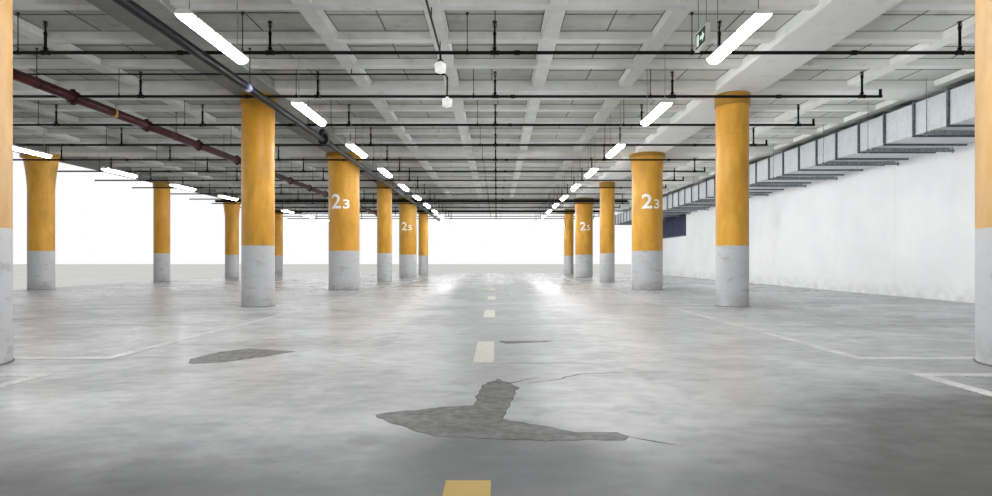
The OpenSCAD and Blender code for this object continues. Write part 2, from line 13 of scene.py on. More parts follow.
import bmesh
import bpy
import numpy as np
from bpy.types import ID, Material, Mesh, Node, NodeSocket, NodeTree, Object
from mathutils import Euler, Matrix, Vector
from mathutils.noise import noise as solid_noise


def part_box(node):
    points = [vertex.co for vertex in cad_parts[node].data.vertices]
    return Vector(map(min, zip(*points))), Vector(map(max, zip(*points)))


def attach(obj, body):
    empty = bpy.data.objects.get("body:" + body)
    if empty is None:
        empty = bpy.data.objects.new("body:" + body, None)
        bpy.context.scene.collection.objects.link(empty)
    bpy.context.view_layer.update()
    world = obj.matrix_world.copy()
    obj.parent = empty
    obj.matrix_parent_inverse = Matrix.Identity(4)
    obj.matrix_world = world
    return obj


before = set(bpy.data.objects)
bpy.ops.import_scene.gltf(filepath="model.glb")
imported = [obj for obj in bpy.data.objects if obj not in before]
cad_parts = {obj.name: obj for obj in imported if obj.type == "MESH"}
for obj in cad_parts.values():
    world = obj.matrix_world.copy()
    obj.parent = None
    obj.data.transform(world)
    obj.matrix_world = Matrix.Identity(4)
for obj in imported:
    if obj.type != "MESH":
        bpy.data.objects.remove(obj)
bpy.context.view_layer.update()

BODY = "root"
MM = 0.001
SEED = 7
SMOOTH_ANGLE = 35.0
NOISE_SHIFT = Vector((9, 5, 3))
UPRIGHT = Matrix.Identity(4)
LOG = logging.getLogger("storey")

Colour = tuple[float, float, float, float]
Pair = tuple[float, float]
Point = tuple[float, float, float]
Outline = tuple[Pair, ...]
Value = Union[float, int, bool, str, tuple, NodeSocket]
Links = dict[Union[str, int], Value]


def ink(code: str) -> Colour:
    """Turns an sRGB colour into a linear one.

    Args:
        code: Hex code such as "#D79A3C".

    Returns:
        Red, green, blue and an alpha of 1.
    """
    parts = [int(code[i:i + 2], 16) / 255 for i in (1, 3, 5)]
    linear = [p / 12.92 if p <= 0.04045 else ((p + 0.055) / 1.055) ** 2.4 for p in parts]
    return (*linear, 1.0)


def add_node(tree: NodeTree, kind: str, links: Links | None = None, **settings: Value) -> Node:
    """Adds one node with its settings and its links.

    Args:
        tree: Tree that gets the node.
        kind: Blender's name of the node type.
        links: Value or output socket for each input, by the input's name or number.
        settings: Attributes of the node.

    Returns:
        The new node.
    """
    made = tree.nodes.new(kind)
    for key, value in settings.items():
        setattr(made, key, value)
    for key, value in (links or {}).items():
        if isinstance(value, NodeSocket):
            tree.links.new(value, made.inputs[key])
        else:
            made.inputs[key].default_value = value
    return made


def put(name: str, data: ID) -> Object:
    """Puts an object into the scene.

    Args:
        name: Name of the object.
        data: Its mesh, curve, camera or light.

    Returns:
        The object.
    """
    made = bpy.data.objects.new(name, data)
    bpy.context.scene.collection.objects.link(made)
    return made


def circle(count: int, start: float = 0.0) -> list[Pair]:
    """Lists cosine and sine of evenly spaced angles, the first of them start steps past zero."""
    return [(math.cos(a), math.sin(a)) for a in (2 * math.pi * (i + start) / count for i in range(count))]


def about(mid: float, half: float) -> Pair:
    """Gives both ends of a length about its middle."""
    return mid - half, mid + half


def mirrored(half: Sequence[Pair]) -> list[Pair]:
    """Completes a profile of radius and height that is drawn from its middle up."""
    return [(radius, -height) for radius, height in half[::-1]] + [*half]


def widened(profile: Sequence[Pair], radius: float) -> list[Pair]:
    """Sets a profile that is drawn over a pipe's surface round a pipe of this radius."""
    return [(radius + over, height) for over, height in profile]


class Shader:
    """Node tree of one material round a Principled shader, with the patterns that finishes share."""

    def __init__(self, title: str, **uniform: Value) -> None:
        """Starts the material.

        Args:
            title: Name of the material.
            uniform: Inputs of the Principled shader that are the same all over, with _ for a blank.
        """
        self.material = bpy.data.materials.new(title)
        self.material.use_nodes = True
        self.tree = self.material.node_tree
        self.tree.nodes.clear()
        self.place = self.add("ShaderNodeTexCoord").outputs["Object"]
        self.surface = self.add(
            "ShaderNodeBsdfPrincipled", {k.replace("_", " "): v for k, v in uniform.items()})
        self.add("ShaderNodeOutputMaterial", {"Surface": self.surface.outputs["BSDF"]})

    def add(self, kind: str, links: Links | None = None, **settings: Value) -> Node:
        """Adds one node to this material, as add_node does."""
        return add_node(self.tree, kind, links, **settings)

    def times(self, *values: Value) -> NodeSocket:
        """Multiplies values, such as masks.

        Args:
            values: Two or more numbers and sockets.

        Returns:
            Socket of the result.
        """
        total = values[0]
        for value in values[1:]:
            total = self.add("ShaderNodeMath", {0: total, 1: value}, operation="MULTIPLY").outputs[0]
        return total

    def spread(self, value: NodeSocket, low: float, high: float, to_low: float = 0.0,
               to_high: float = 1.0) -> NodeSocket:
        """Spreads a value from one range over another, clamped at both ends."""
        return self.add("ShaderNodeMapRange", {"Value": value, "From Min": low, "From Max": high,
                                               "To Min": to_low, "To Max": to_high}).outputs["Result"]

    def between(self, mask: NodeSocket, none: float, full: float) -> NodeSocket:
        """Gives one value where a mask is 0 and another where it is 1."""
        return self.spread(mask, 0.0, 1.0, none, full)

    def blotches(self, size: float, low: float = 0.4, high: float = 0.6, detail: float = 4.0,
                 stretch: Point = (1, 1, 1)) -> NodeSocket:
        """Makes soft irregular patches.

        Args:
            size: Rough size of a patch in metres.
            low: Noise value that becomes 0.
            high: Noise value that becomes 1.
            detail: How many finer layers the edges have.
            stretch: How much longer a patch is along X, Y and Z.

        Returns:
            Socket from 0 to 1.
        """
        place = self.add("ShaderNodeMapping", {"Vector": self.place,
                                               "Scale": tuple(1 / (size * s) for s in stretch)})
        cloud = self.add("ShaderNodeTexNoise", {"Vector": place.outputs[0], "Scale": 1.0,
                                                "Detail": detail, "Roughness": 0.6})
        return self.spread(cloud.outputs["Fac"], low, high)

    def over(self, under: Value, colour: Value, mask: Value) -> NodeSocket:
        """Lays a colour over another where the mask is 1."""
        return self.add("ShaderNodeMix", {0: mask, 6: under, 7: colour}, data_type="RGBA").outputs[2]

    def coats(self, under: str, *coats: tuple[str, NodeSocket, float]) -> NodeSocket:
        """Lays coats over a colour.

        Args:
            under: Hex code of the colour below.
            coats: Hex code, mask and weight of each coat, from the lowest up.

        Returns:
            Socket of the colour.
        """
        colour = ink(under)
        for code, mask, weight in coats:
            colour = self.over(colour, ink(code), self.times(mask, weight))
        return colour

    def axis(self, name: str) -> NodeSocket:
        """Gives the place along the axis X, Y or Z."""
        return self.add("ShaderNodeSeparateXYZ", {0: self.place}).outputs[name]

    def normal(self, name: str) -> NodeSocket:
        """Gives how far the surface looks along the axis X, Y or Z."""
        normal = self.add("ShaderNodeNewGeometry").outputs["Normal"]
        return self.add("ShaderNodeSeparateXYZ", {0: normal}).outputs[name]

    def off_line(self, name: str, level: float, half: float, soft: float) -> NodeSocket:
        """Makes a mask of two lines, as far on one side of the middle as on the other.

        Args:
            name: Axis X, Y or Z that the lines lie across.
            level: How far they are from the middle.
            half: Half the width of each.
            soft: Width over which their edges fade.

        Returns:
            Socket from 0 to 1.
        """
        far = self.add("ShaderNodeMath", {0: self.axis(name)}, operation="ABSOLUTE").outputs[0]
        off = self.add("ShaderNodeMath", {0: far, 1: level}, operation="SUBTRACT").outputs[0]
        gap = self.add("ShaderNodeMath", {0: off}, operation="ABSOLUTE").outputs[0]
        return self.spread(gap, half, half + soft, 1.0, 0.0)

    def near(self, point: Point, inner: float, outer: float) -> NodeSocket:
        """Makes a mask that is 1 at a point and fades out from one distance to another."""
        gap = self.add("ShaderNodeVectorMath", {0: self.place, 1: point}, operation="DISTANCE")
        return self.spread(gap.outputs["Value"], inner, outer, 1.0, 0.0)

    def settled(self, size: float, low: float, high: float, detail: float = 4.0) -> NodeSocket:
        """Makes a mask of dust in patches on faces that look up."""
        return self.times(self.spread(self.normal("Z"), 0.3, 0.9), self.blotches(size, low, high, detail))

    def bump(self, height: NodeSocket, depth: float, strength: float = 1.0,
             normal: NodeSocket | None = None) -> NodeSocket:
        """Turns a height from 0 to 1 into a surface.

        Args:
            height: Socket of the height.
            depth: What a height of 1 stands for, in metres.
            strength: Share of it that is used.
            normal: Surface that it lies on, if that isn't the mesh's own.

        Returns:
            Socket of the surface's normal.
        """
        links: Links = {"Height": height, "Distance": depth, "Strength": strength}
        if normal is not None:
            links["Normal"] = normal
        return self.add("ShaderNodeBump", links).outputs["Normal"]

    def finish(self, **inputs: NodeSocket) -> Material:
        """Links the patterns to the Principled shader.

        Args:
            inputs: Socket for each input, with _ for a blank.

        Returns:
            The finished material.
        """
        for key, value in inputs.items():
            self.tree.links.new(value, self.surface.inputs[key.replace("_", " ")])
        return self.material


@dataclass(frozen=True)
class TrowelledFloor:
    """Power-trowelled concrete under a worn clear sealer: grey clouds with a soft, broken shine."""

    title: str = "trowelled_concrete"
    light: str = "#BDBFC1"
    middle: str = "#A8AAAB"
    dark: str = "#656668"
    stain: str = "#434342"
    dull_spot: Point = (0.06, -15.42, 0.25)
    dirty_corner: Point = (3.2, -16.2, 0.25)
    side_x: float = 3.2
    track_x: float = 0.95
    stall_x: float = 8.4

    def build(self) -> Material:
        """Builds the material.

        Returns:
            The finished material.
        """
        s = Shader(self.title, Specular_IOR_Level=0.45)
        drift = s.blotches(0.6, 0.4, 0.64, 7.0, (1.5, 1.0, 1.0))
        mottle = s.blotches(0.09, 0.38, 0.66, 7.0, (1.8, 1.0, 1.0))
        scuffs = s.blotches(0.24, 0.55, 0.66, 8.0, (1.3, 1.0, 1.0))
        tracks = s.times(s.off_line("X", self.track_x, 0.1, 0.16),
                         s.blotches(0.5, 0.3, 0.7, 4.0, (0.3, 3.0, 1.0)))
        # Oil stains in the stalls, made darker to stand for the shade that parked cars throw: partly painted
        # shade.
        oil_and_painted_shade = s.times(s.blotches(0.42, 0.6, 0.7, 6.0), s.off_line("X", self.stall_x, 3.4, 0.6))
        # Lighter middle of the aisle past the first bay: unworn floor, and partly a painted reflection down
        # the aisle.
        unworn_and_painted_reflection = s.times(s.off_line("X", 0.0, 0.2, 0.7), s.spread(s.axis("Y"), -14.5, -12.5))
        # Painted shade: the floor darkens towards the near end of the storey.
        painted_shade_near_end = s.times(s.spread(s.axis("Y"), -15.75, -15.0, 1.0, 0.0), s.blotches(0.9, 0.05, 0.45, 6.0))
        # Painted shade: a dark spot on the floor in front of the worn patch.
        dull = s.times(s.near(self.dull_spot, 0.3, 0.58), s.blotches(0.3, 0.05, 0.4, 6.0))
        # Painted shade: dark patches either side of the aisle at the near end, in the stain's colour.
        sides = s.times(s.spread(s.axis("Y"), -15.65, -15.0, 1.0, 0.0),
                        s.off_line("X", self.side_x, 1.9, 0.8), s.blotches(0.4, 0.2, 0.55, 6.0))
        # Painted shade: a dark corner at the near right, in the stain's colour.
        corner = s.times(s.near(self.dirty_corner, 1.8, 2.6), s.blotches(0.5, 0.05, 0.42, 6.0))
        colour = s.coats(
            self.middle, (self.light, s.blotches(2.2, 0.36, 0.64, 5.0), 1.0), (self.dark, drift, 0.34),
            (self.dark, mottle, 0.22), (self.dark, scuffs, 0.3), (self.dark, tracks, 0.25),
            (self.stain, oil_and_painted_shade, 0.55), (self.stain, s.blotches(0.05, 0.62, 0.8, 3.0), 0.25),
            (self.light, unworn_and_painted_reflection, 0.45), (self.dark, painted_shade_near_end, 0.75), (self.dark, dull, 0.95),
            (self.stain, sides, 0.6), (self.stain, corner, 0.9))
        clouds = s.add("ShaderNodeMath", {0: drift, 1: mottle}, operation="ADD").outputs[0]
        gloss = s.spread(clouds, 0.2, 1.8, 0.28, 0.46)
        for more in (s.spread(s.axis("Y"), -15.8, -14.5, 0.3, 0.0),
                     s.spread(s.axis("Y"), -6.0, 4.0, 0.0, -0.16),
                     s.times(s.off_line("X", self.track_x, 0.3, 0.35), 0.09)):
            gloss = s.add("ShaderNodeMath", {0: gloss, 1: more}, operation="ADD").outputs[0]
        return s.finish(Base_Color=colour, Roughness=gloss,
                        Normal=s.bump(s.blotches(0.4, 0.2, 0.8, 2.0), 0.0012, 0.5))


@dataclass(frozen=True)
class LimewashedConcrete:
    """Cast concrete under a thin limewash: matt and faintly cloudy, with the form's stains.

    Under the deck it is painted lighter on the right, as painted light, and darker on the left, as painted
    shade.
    """

    title: str = "limewashed_concrete"
    light: str = "#DDDEDB"
    dark: str = "#B7B7B3"
    stain: str = "#8F8F89"
    fresh: str = "#EFF0EC"

    def build(self) -> Material:
        """Builds the material.

        Returns:
            The finished material.
        """
        s = Shader(self.title, Roughness=0.86)
        clouds = s.blotches(0.8, 0.38, 0.62, 6.0)
        # Painted light and shade: the fresh colour lightens the right and the stain darkens the left, except
        # on faces that look up.
        inside = s.spread(s.normal("Z"), 0.3, 0.6, 1.0, 0.0)
        right = s.times(s.spread(s.axis("X"), 0.6, 2.4), inside)
        left = s.times(s.spread(s.axis("X"), -4.8, -3.4, 1.0, 0.0), inside)
        colour = s.coats(
            self.light, (self.dark, clouds, 0.5),
            (self.dark, s.blotches(0.12, 0.48, 0.7, 5.0, (3.0, 1.0, 1.0)), 0.4),
            (self.fresh, right, 0.75), (self.stain, left, 0.3),
            (self.stain, s.blotches(0.3, 0.6, 0.76, 6.0), 0.45))
        pores = s.bump(s.blotches(0.006, 0.3, 0.7, 2.0), 0.0006, 0.5)
        return s.finish(Base_Color=colour, Normal=s.bump(clouds, 0.002, 0.5, pores))


@dataclass(frozen=True)
class ColumnPaint:
    """Satin ochre paint over smooth cast concrete, with a pale grey foot and a darker band on top, which is
    painted shade under the girder.
    """

    title: str
    foot_z: float
    band_z: float
    ochre: str = "#CC9018"
    faded: str = "#DDA63A"
    olive: str = "#8A6812"
    band: str = "#8E6A18"
    foot: str = "#C6C7C9"
    scuff: str = "#6F6A62"

    def build(self) -> Material:
        """Builds the material.

        Returns:
            The finished material.
        """
        s = Shader(self.title, Specular_IOR_Level=0.35, Coat_Weight=0.3, Coat_Roughness=0.5)
        clouds = s.blotches(0.5, 0.35, 0.65, 5.0, (1, 1, 2.5))
        # The band's colour near the top is painted shade under the girder.
        colour = s.coats(
            self.ochre, (self.faded, clouds, 1.0),
            (self.olive, s.blotches(0.3, 0.48, 0.7, 6.0, (1, 1, 2.6)), 0.45),
            (self.olive, s.blotches(0.05, 0.5, 0.75, 4.0, (1, 1, 9)), 0.2),
            (self.band, s.spread(s.axis("Z"), *about(self.band_z, 0.012)), 0.75))
        wobble = s.between(s.blotches(0.1, 0.3, 0.7, 3.0), -0.004, 0.004)
        height = s.add("ShaderNodeMath", {0: s.axis("Z"), 1: wobble}, operation="ADD").outputs[0]
        foot = s.spread(height, *about(self.foot_z, MM), 1.0, 0.0)
        low = s.spread(s.axis("Z"), self.foot_z - 1.0, self.foot_z - 0.75, 0.6, 0.0)
        grey = s.coats(self.foot, (self.scuff, s.blotches(0.09, 0.56, 0.72, 6.0, (3, 3, 1)), 0.5),
                       (self.scuff, s.times(low, s.blotches(0.2, 0.3, 0.7)), 1.0))
        # The roller's peel is about 3 mm, too fine to show here, so it is drawn at 20 mm.
        peel = s.bump(s.blotches(0.02, 0.3, 0.7, 3.0), 0.0006, 0.35)
        return s.finish(Base_Color=s.over(colour, grey, foot), Roughness=s.between(clouds, 0.46, 0.6),
                        Normal=s.bump(clouds, 0.003, 0.4, peel))


@dataclass(frozen=True)
class WallPaint:
    """Matt white paint on cast concrete, cool and even, with faint marks of the form."""

    title: str = "wall_white_paint"
    light: str = "#F4F5F5"
    dark: str = "#E6E7E8"
    dirt: str = "#A5A29C"

    def build(self) -> Material:
        """Builds the material.

        Returns:
            The finished material.
        """
        s = Shader(self.title, Roughness=0.8)
        low = s.spread(s.axis("Z"), 0.25, 0.6, 0.5, 0.0)
        colour = s.coats(
            self.light, (self.dark, s.blotches(1.6, 0.35, 0.7), 0.8),
            (self.dark, s.blotches(0.07, 0.5, 0.75, 4.0, (1, 1, 14)), 0.15),
            (self.dirt, s.times(low, s.blotches(0.25, 0.4, 0.7, 6.0)), 1.0))
        # The roller's texture is about 3 mm, too fine to show here, so it is drawn at 15 mm.
        return s.finish(Base_Color=colour, Normal=s.bump(s.blotches(0.015, 0.3, 0.7, 3.0), 0.0008, 0.4))


@dataclass(frozen=True)
class PipePaint:
    """Brushed gloss paint on steel pipe: a smooth dark coat that dust dulls on top."""

    title: str
    coat: str
    faded: str
    dust: str = "#5E5853"
    rough: float = 0.34

    def build(self) -> Material:
        """Builds the material.

        Returns:
            The finished material.
        """
        s = Shader(self.title, Specular_IOR_Level=0.16)
        dust = s.settled(0.06, 0.25, 0.7, 5.0)
        colour = s.coats(self.coat, (self.faded, s.blotches(0.35, 0.4, 0.65, 5.0), 1.0),
                         (self.dust, dust, 0.35))
        # Brush marks are about 1 mm wide, too fine to show here, so they are drawn at 12 mm.
        return s.finish(Base_Color=colour, Roughness=s.between(dust, self.rough, 0.85),
                        Normal=s.bump(s.blotches(0.012, 0.3, 0.7, 2.0, (3, 3, 1)), 0.0003, 0.4))


@dataclass(frozen=True)
class ZincSheet:
    """Hot-dip zinc on folded steel sheet: a dull silver with spangle and pale runs down the sides."""

    title: str = "galvanised_sheet"
    light: str = "#D3D7DA"
    dark: str = "#BAC0C4"
    runs: str = "#959CA1"
    spangle: float = 0.014
    metallic: float = 0.3

    def build(self) -> Material:
        """Builds the material.

        Returns:
            The finished material.
        """
        s = Shader(self.title, Metallic=self.metallic)
        cells = s.add("ShaderNodeTexVoronoi", {"Vector": s.place, "Scale": 1 / self.spangle}).outputs["Color"]
        flake = s.add("ShaderNodeSeparateColor", {0: cells}).outputs[0]
        colour = s.coats(
            self.dark, (self.light, flake, 1.0), (self.light, s.blotches(0.3, 0.4, 0.7, 5.0), 0.6),
            (self.runs, s.blotches(0.035, 0.5, 0.72, 4.0, (1, 1, 12)), 0.3))
        return s.finish(Base_Color=colour, Roughness=s.between(flake, 0.38, 0.55),
                        Normal=s.bump(s.blotches(0.28, 0.3, 0.7, 2.0), 0.004, 0.5))


@dataclass(frozen=True)
class PlatedSteel:
    """Zinc plate on rods, channels and flanges: grey metal with a dull even grain."""

    title: str
    light: str = "#A7ADB0"
    dark: str = "#7D8386"
    rough: float = 0.45

    def build(self) -> Material:
        """Builds the material.

        Returns:
            The finished material.
        """
        s = Shader(self.title, Metallic=0.7)
        # The plate's grain is under 1 mm, too fine to show here, so it is drawn at 20 mm.
        grain = s.blotches(0.02, 0.35, 0.65, 4.0, (1, 1, 4))
        return s.finish(Base_Color=s.coats(self.light, (self.dark, grain, 1.0)),
                        Roughness=s.between(grain, self.rough, self.rough + 0.15),
                        Normal=s.bump(grain, 0.0002, 0.4))


@dataclass(frozen=True)
class Enamel:
    """Stoved enamel on pressed sheet: an even coat with a low sheen and a trace of dust."""

    title: str
    coat: str
    shade: str
    rough: float = 0.35
    dust: str = "#8C8880"

    def build(self) -> Material:
        """Builds the material.

        Returns:
            The finished material.
        """
        s = Shader(self.title, Specular_IOR_Level=0.5)
        colour = s.coats(self.coat, (self.shade, s.blotches(0.3, 0.4, 0.7, 5.0), 1.0),
                         (self.dust, s.settled(0.05, 0.3, 0.7), 1.0))
        # The enamel's peel is about 2 mm, too fine to show here, so it is drawn at 4 mm.
        return s.finish(Base_Color=colour,
                        Roughness=s.between(s.blotches(0.12), self.rough, self.rough + 0.12),
                        Normal=s.bump(s.blotches(0.004, 0.3, 0.7, 2.0), 0.0001, 0.4))


@dataclass(frozen=True)
class OpalDiffuser:
    """Extruded opal acrylic over lit tubes: white, and strongest where its ribbed sides throw light out."""

    title: str
    side: float
    down: float
    glow: str = "#FBFCFD"

    def build(self) -> Material:
        """Builds the material.

        Returns:
            The finished material.
        """
        s = Shader(self.title, Roughness=0.3, Base_Color=ink("#F4F4F0"), Emission_Color=ink(self.glow))
        upright, endways = (s.add("ShaderNodeMath", {0: s.normal(name)}, operation="ABSOLUTE").outputs[0]
                            for name in ("Z", "Y"))
        power = s.times(s.spread(upright, 0.15, 0.95, self.side, self.down),
                        s.spread(endways, 0.5, 0.9, 1.0, 0.05),
                        s.between(s.blotches(0.4, 0.2, 0.8, 2.0), 0.94, 1.0))
        return s.finish(Emission_Strength=power)


@dataclass(frozen=True)
class RoadPaint:
    """Rolled floor paint, worn by wheels: chalky, with the concrete showing through in specks.

    Far past the first bay it turns to the far colour, where that is given, a painted glare.
    """

    title: str
    fresh: str
    worn: str
    bare: str = "#8F8F8C"
    loss: float = 0.55
    rough: float = 0.5
    far: str = ""

    def build(self) -> Material:
        """Builds the material.

        Returns:
            The finished material.
        """
        s = Shader(self.title)
        chips = s.blotches(0.03, self.loss, self.loss + 0.08, 7.0)
        # The far colour is a painted glare on the paint far down the aisle.
        past = [(self.far, s.spread(s.axis("Y"), -15.2, -13.4), 1.0)] if self.far else []
        colour = s.coats(self.fresh, (self.worn, s.blotches(0.3, 0.35, 0.65, 5.0), 1.0), *past,
                         (self.bare, chips, 0.8))
        return s.finish(Base_Color=colour, Roughness=s.between(chips, self.rough, 0.4),
                        Normal=s.bump(chips, -0.0008, 0.6))


@dataclass(frozen=True)
class Moulding:
    """Injection-moulded plastic: an even colour under a fine texture with a soft gloss."""

    title: str
    colour: str
    shade: str
    rough: float = 0.4
    glow: float = 0.0

    def build(self) -> Material:
        """Builds the material.

        Returns:
            The finished material.
        """
        s = Shader(self.title, Specular_IOR_Level=0.5, Emission_Color=ink(self.colour),
                   Emission_Strength=self.glow)
        # The mould's grit is about 0.2 mm, too fine to show here, so it is drawn at 2 mm.
        grit = s.blotches(0.002, 0.3, 0.7, 2.0)
        return s.finish(Base_Color=s.coats(self.colour, (self.shade, s.blotches(0.05, 0.35, 0.65, 5.0), 1.0)),
                        Roughness=s.between(grit, self.rough, self.rough + 0.1),
                        Normal=s.bump(grit, 0.0001, 0.5))


@dataclass(frozen=True)
class BareScreed:
    """Concrete that has lost its sealer: darker, rough and finely pitted."""

    title: str = "worn_screed"
    middle: str = "#676766"
    dark: str = "#50504F"
    light: str = "#7C7C7A"

    def build(self) -> Material:
        """Builds the material.

        Returns:
            The finished material.
        """
        s = Shader(self.title)
        colour = s.coats(self.middle, (self.dark, s.blotches(0.09, 0.4, 0.66, 7.0, (3, 1, 1)), 1.0),
                         (self.light, s.blotches(0.03, 0.5, 0.7, 5.0, (3, 1, 1)), 0.6))
        # The pits are about 3 mm, too fine to show here, so they are drawn at 12 mm.
        return s.finish(Base_Color=colour, Roughness=s.between(s.blotches(0.05), 0.4, 0.6),
                        Normal=s.bump(s.blotches(0.012, 0.3, 0.7, 4.0), 0.001, 0.5))


@dataclass(frozen=True)
class Solid:
    """Box of one closed solid of a CAD node, and half its width across at its lowest points."""

    low: Vector
    high: Vector
    foot: float

    @property
    def mid(self) -> Vector:
        """Middle of the box."""
        return (self.low + self.high) / 2

    @property
    def size(self) -> Vector:
        """Lengths of the box's sides."""
        return self.high - self.low


def solids_of(node: str) -> list[Solid]:
    """Finds the separate solids of a CAD node.

    Args:
        node: Name of the node.

    Returns:
        The solids, sorted along Y and then along X.
    """
    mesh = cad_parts[node].data
    points = np.empty(len(mesh.vertices) * 3, np.float32)
    mesh.vertices.foreach_get("co", points)
    points = points.reshape(-1, 3)
    ends = np.empty(len(mesh.edges) * 2, np.int32)
    mesh.edges.foreach_get("vertices", ends)
    _, weld = np.unique(np.round(points, 5), axis=0, return_inverse=True)
    weld = weld.reshape(-1)
    first, second = weld[ends[0::2]], weld[ends[1::2]]
    group = np.arange(weld.max() + 1)
    while not (group[first] == group[second]).all():
        least = np.minimum(group[first], group[second])
        np.minimum.at(group, group[first], least)
        np.minimum.at(group, group[second], least)
        group = group[group]
    owner = group[weld]
    found = []
    for key in np.unique(owner):
        own = points[owner == key]
        sole = own[own[:, 2] < own[:, 2].min() + MM][:, 0]
        found.append(Solid(Vector(own.min(0).tolist()), Vector(own.max(0).tolist()),
                           float(sole.max() - sole.min()) / 2))
    return sorted(found, key=lambda solid: (round(solid.mid.y, 2), round(solid.mid.x, 2)))


class Sketch:
    """Mesh under construction. Every form that it adds is closed."""

    def __init__(self) -> None:
        """Starts an empty mesh."""
        self.mesh = bmesh.new()

    def loop(self, points: Iterable[Sequence[float]], place: Matrix = UPRIGHT) -> list[bmesh.types.BMVert]:
        """Adds one ring of points."""
        return [self.mesh.verts.new(place @ Vector(point)) for point in points]

    def bridge(self, low: list[bmesh.types.BMVert], high: list[bmesh.types.BMVert]) -> None:
        """Joins two rings of as many points with faces.

        Args:
            low: One ring.
            high: The other ring.
        """
        count = len(low)
        for i in range(count):
            j = (i + 1) % count
            self.mesh.faces.new((low[i], low[j], high[j], high[i]))

    def stack(self, rings: list[list[bmesh.types.BMVert]]) -> None:
        """Joins each ring to the next one and closes both ends.

        Args:
            rings: Rings of as many points each, from one end to the other.
        """
        self.mesh.faces.new(rings[0][::-1])
        self.mesh.faces.new(rings[-1])
        for low, high in zip(rings, rings[1:]):
            self.bridge(low, high)

    def prism(self, outline: Sequence[Pair], length: float, place: Matrix = UPRIGHT) -> None:
        """Adds an outline drawn in X and Y and raised along Z.

        Args:
            outline: Corners, anticlockwise.
            length: Height of the prism.
            place: Where its base plane lies.
        """
        self.stack([self.loop(((x, y, z) for x, y in outline), place) for z in (0, length)])

    def lathe(self, profile: Sequence[Pair], sides: int, place: Matrix = UPRIGHT) -> None:
        """Adds a profile turned about Z.

        Args:
            profile: Radius and height from the bottom up.
            sides: Number of sides.
            place: Where the axis stands.
        """
        self.stack([self.loop(((r * c, r * s, z) for c, s in circle(sides)), place) for r, z in profile])

    def nut(self, radius: float, low: float, high: float) -> None:
        """Adds an upright nut."""
        self.lathe([(radius, low), (radius, high)], 6)

    def band(self, outer: float, inner: float, level: Pair, centre: Vector, lip: float) -> None:
        """Adds a band of 48 sides round an upright axis, with softened outer edges.

        Args:
            outer: Outer radius.
            inner: Inner radius.
            level: Lower and upper height over the centre.
            centre: Point on the axis.
            lip: Height of the softened edges.
        """
        low, high = level
        section = [(inner, low), (outer - lip, low), (outer, low + lip), (outer, high - lip),
                   (outer - lip, high), (inner, high)]
        rings = [self.loop(centre + Vector((r * c, r * s, z)) for r, z in section) for c, s in circle(48)]
        for ring, after in zip(rings, rings[1:] + rings[:1]):
            self.bridge(ring[::-1], after[::-1])

    def ribbon(self, line: Sequence[Pair], width: float, level: Pair, closed: bool = False) -> None:
        """Adds a flat strip that follows a line drawn in X and Y.

        Args:
            line: Points of the line.
            width: Width of the strip. An open strip narrows to a fifth of it at its ends.
            level: Height of its underside and its top.
            closed: Whether the line runs back to its start.
        """
        low, high = level
        count = len(line)
        rings = []
        for i, (x, y) in enumerate(line):
            before = line[i - 1] if i or closed else line[i]
            after = line[(i + 1) % count] if i + 1 < count or closed else line[i]
            along = Vector((after[0] - before[0], after[1] - before[1])).normalized()
            half = width / 2 * (1.0 if closed else 1 - 0.8 * abs(2 * i / (count - 1) - 1))
            side = Vector((-along.y, along.x)) * half
            rings.append(self.loop((x + s * side.x, y + s * side.y, z)
                                   for s, z in ((-1, low), (1, low), (1, high), (-1, high))))
        if closed:
            for ring, after in zip(rings, rings[1:] + rings[:1]):
                self.bridge(ring, after)
        else:
            self.stack(rings)

    def block(self, x: Pair, y: Pair, z: Pair, edge: float = 0.0) -> None:
        """Adds a block that lies along the axes.

        Args:
            x: Its two ends along X.
            y: Its two ends along Y.
            z: Its two ends along Z.
            edge: How much is cut off the edges along its longest side.
        """
        low, high = (Vector(ends) for ends in zip(x, y, z))
        size = high - low
        long = max(range(3), key=lambda i: size[i])
        turn = (Matrix(((0, 0, 1), (1, 0, 0), (0, 1, 0))), Matrix(((0, 1, 0), (0, 0, 1), (1, 0, 0))),
                Matrix.Identity(3))[long]
        flat = turn.inverted() @ size
        w, d = flat.x / 2, flat.y / 2
        outline = [(w, d - edge), (w - edge, d), (edge - w, d), (-w, d - edge), (-w, edge - d),
                   (edge - w, -d), (w - edge, -d), (w, edge - d)] if edge else \
            [(w, d), (-w, d), (-w, -d), (w, -d)]
        self.prism(outline, flat.z, Matrix.Translation((low + high) / 2) @ turn.to_4x4()
                   @ Matrix.Translation((0, 0, -flat.z / 2)))

    def done(self, name: str) -> Mesh:
        """Closes the sketch, with the faces outward.

        Args:
            name: Name of the mesh.

        Returns:
            The mesh.
        """
        bmesh.ops.remove_doubles(self.mesh, verts=self.mesh.verts, dist=1e-6)
        bmesh.ops.recalc_face_normals(self.mesh, faces=self.mesh.faces)
        mesh = bpy.data.meshes.new(name)
        self.mesh.to_mesh(mesh)
        self.mesh.free()
        return mesh


@dataclass(frozen=True)
class Bolt:
    """Hexagon bolt with its nut: radius of the head and the shank, half the grip, the head's thickness."""

    head: float
    shank: float
    grip: float
    thick: float

    def profile(self) -> list[Pair]:
        """Gives its profile from end to end, about its middle."""
        end = self.grip + self.thick
        return mirrored([(self.shank, self.grip), (self.head, self.grip), (self.head, end)])


class Lie(Enum):
    """Way that a form drawn upright is laid."""

    ACROSS = (0.0, math.pi / 2, 0.0)
    ALONG = (-math.pi / 2, 0.0, 0.0)

    @property
    def place(self) -> Matrix:
        """Turn from upright to this way."""
        return Euler(self.value).to_matrix().to_4x4()

    def at(self, *place: float) -> Matrix:
        """Turn to this way, at a place."""
        return Matrix.Translation(place) @ self.place


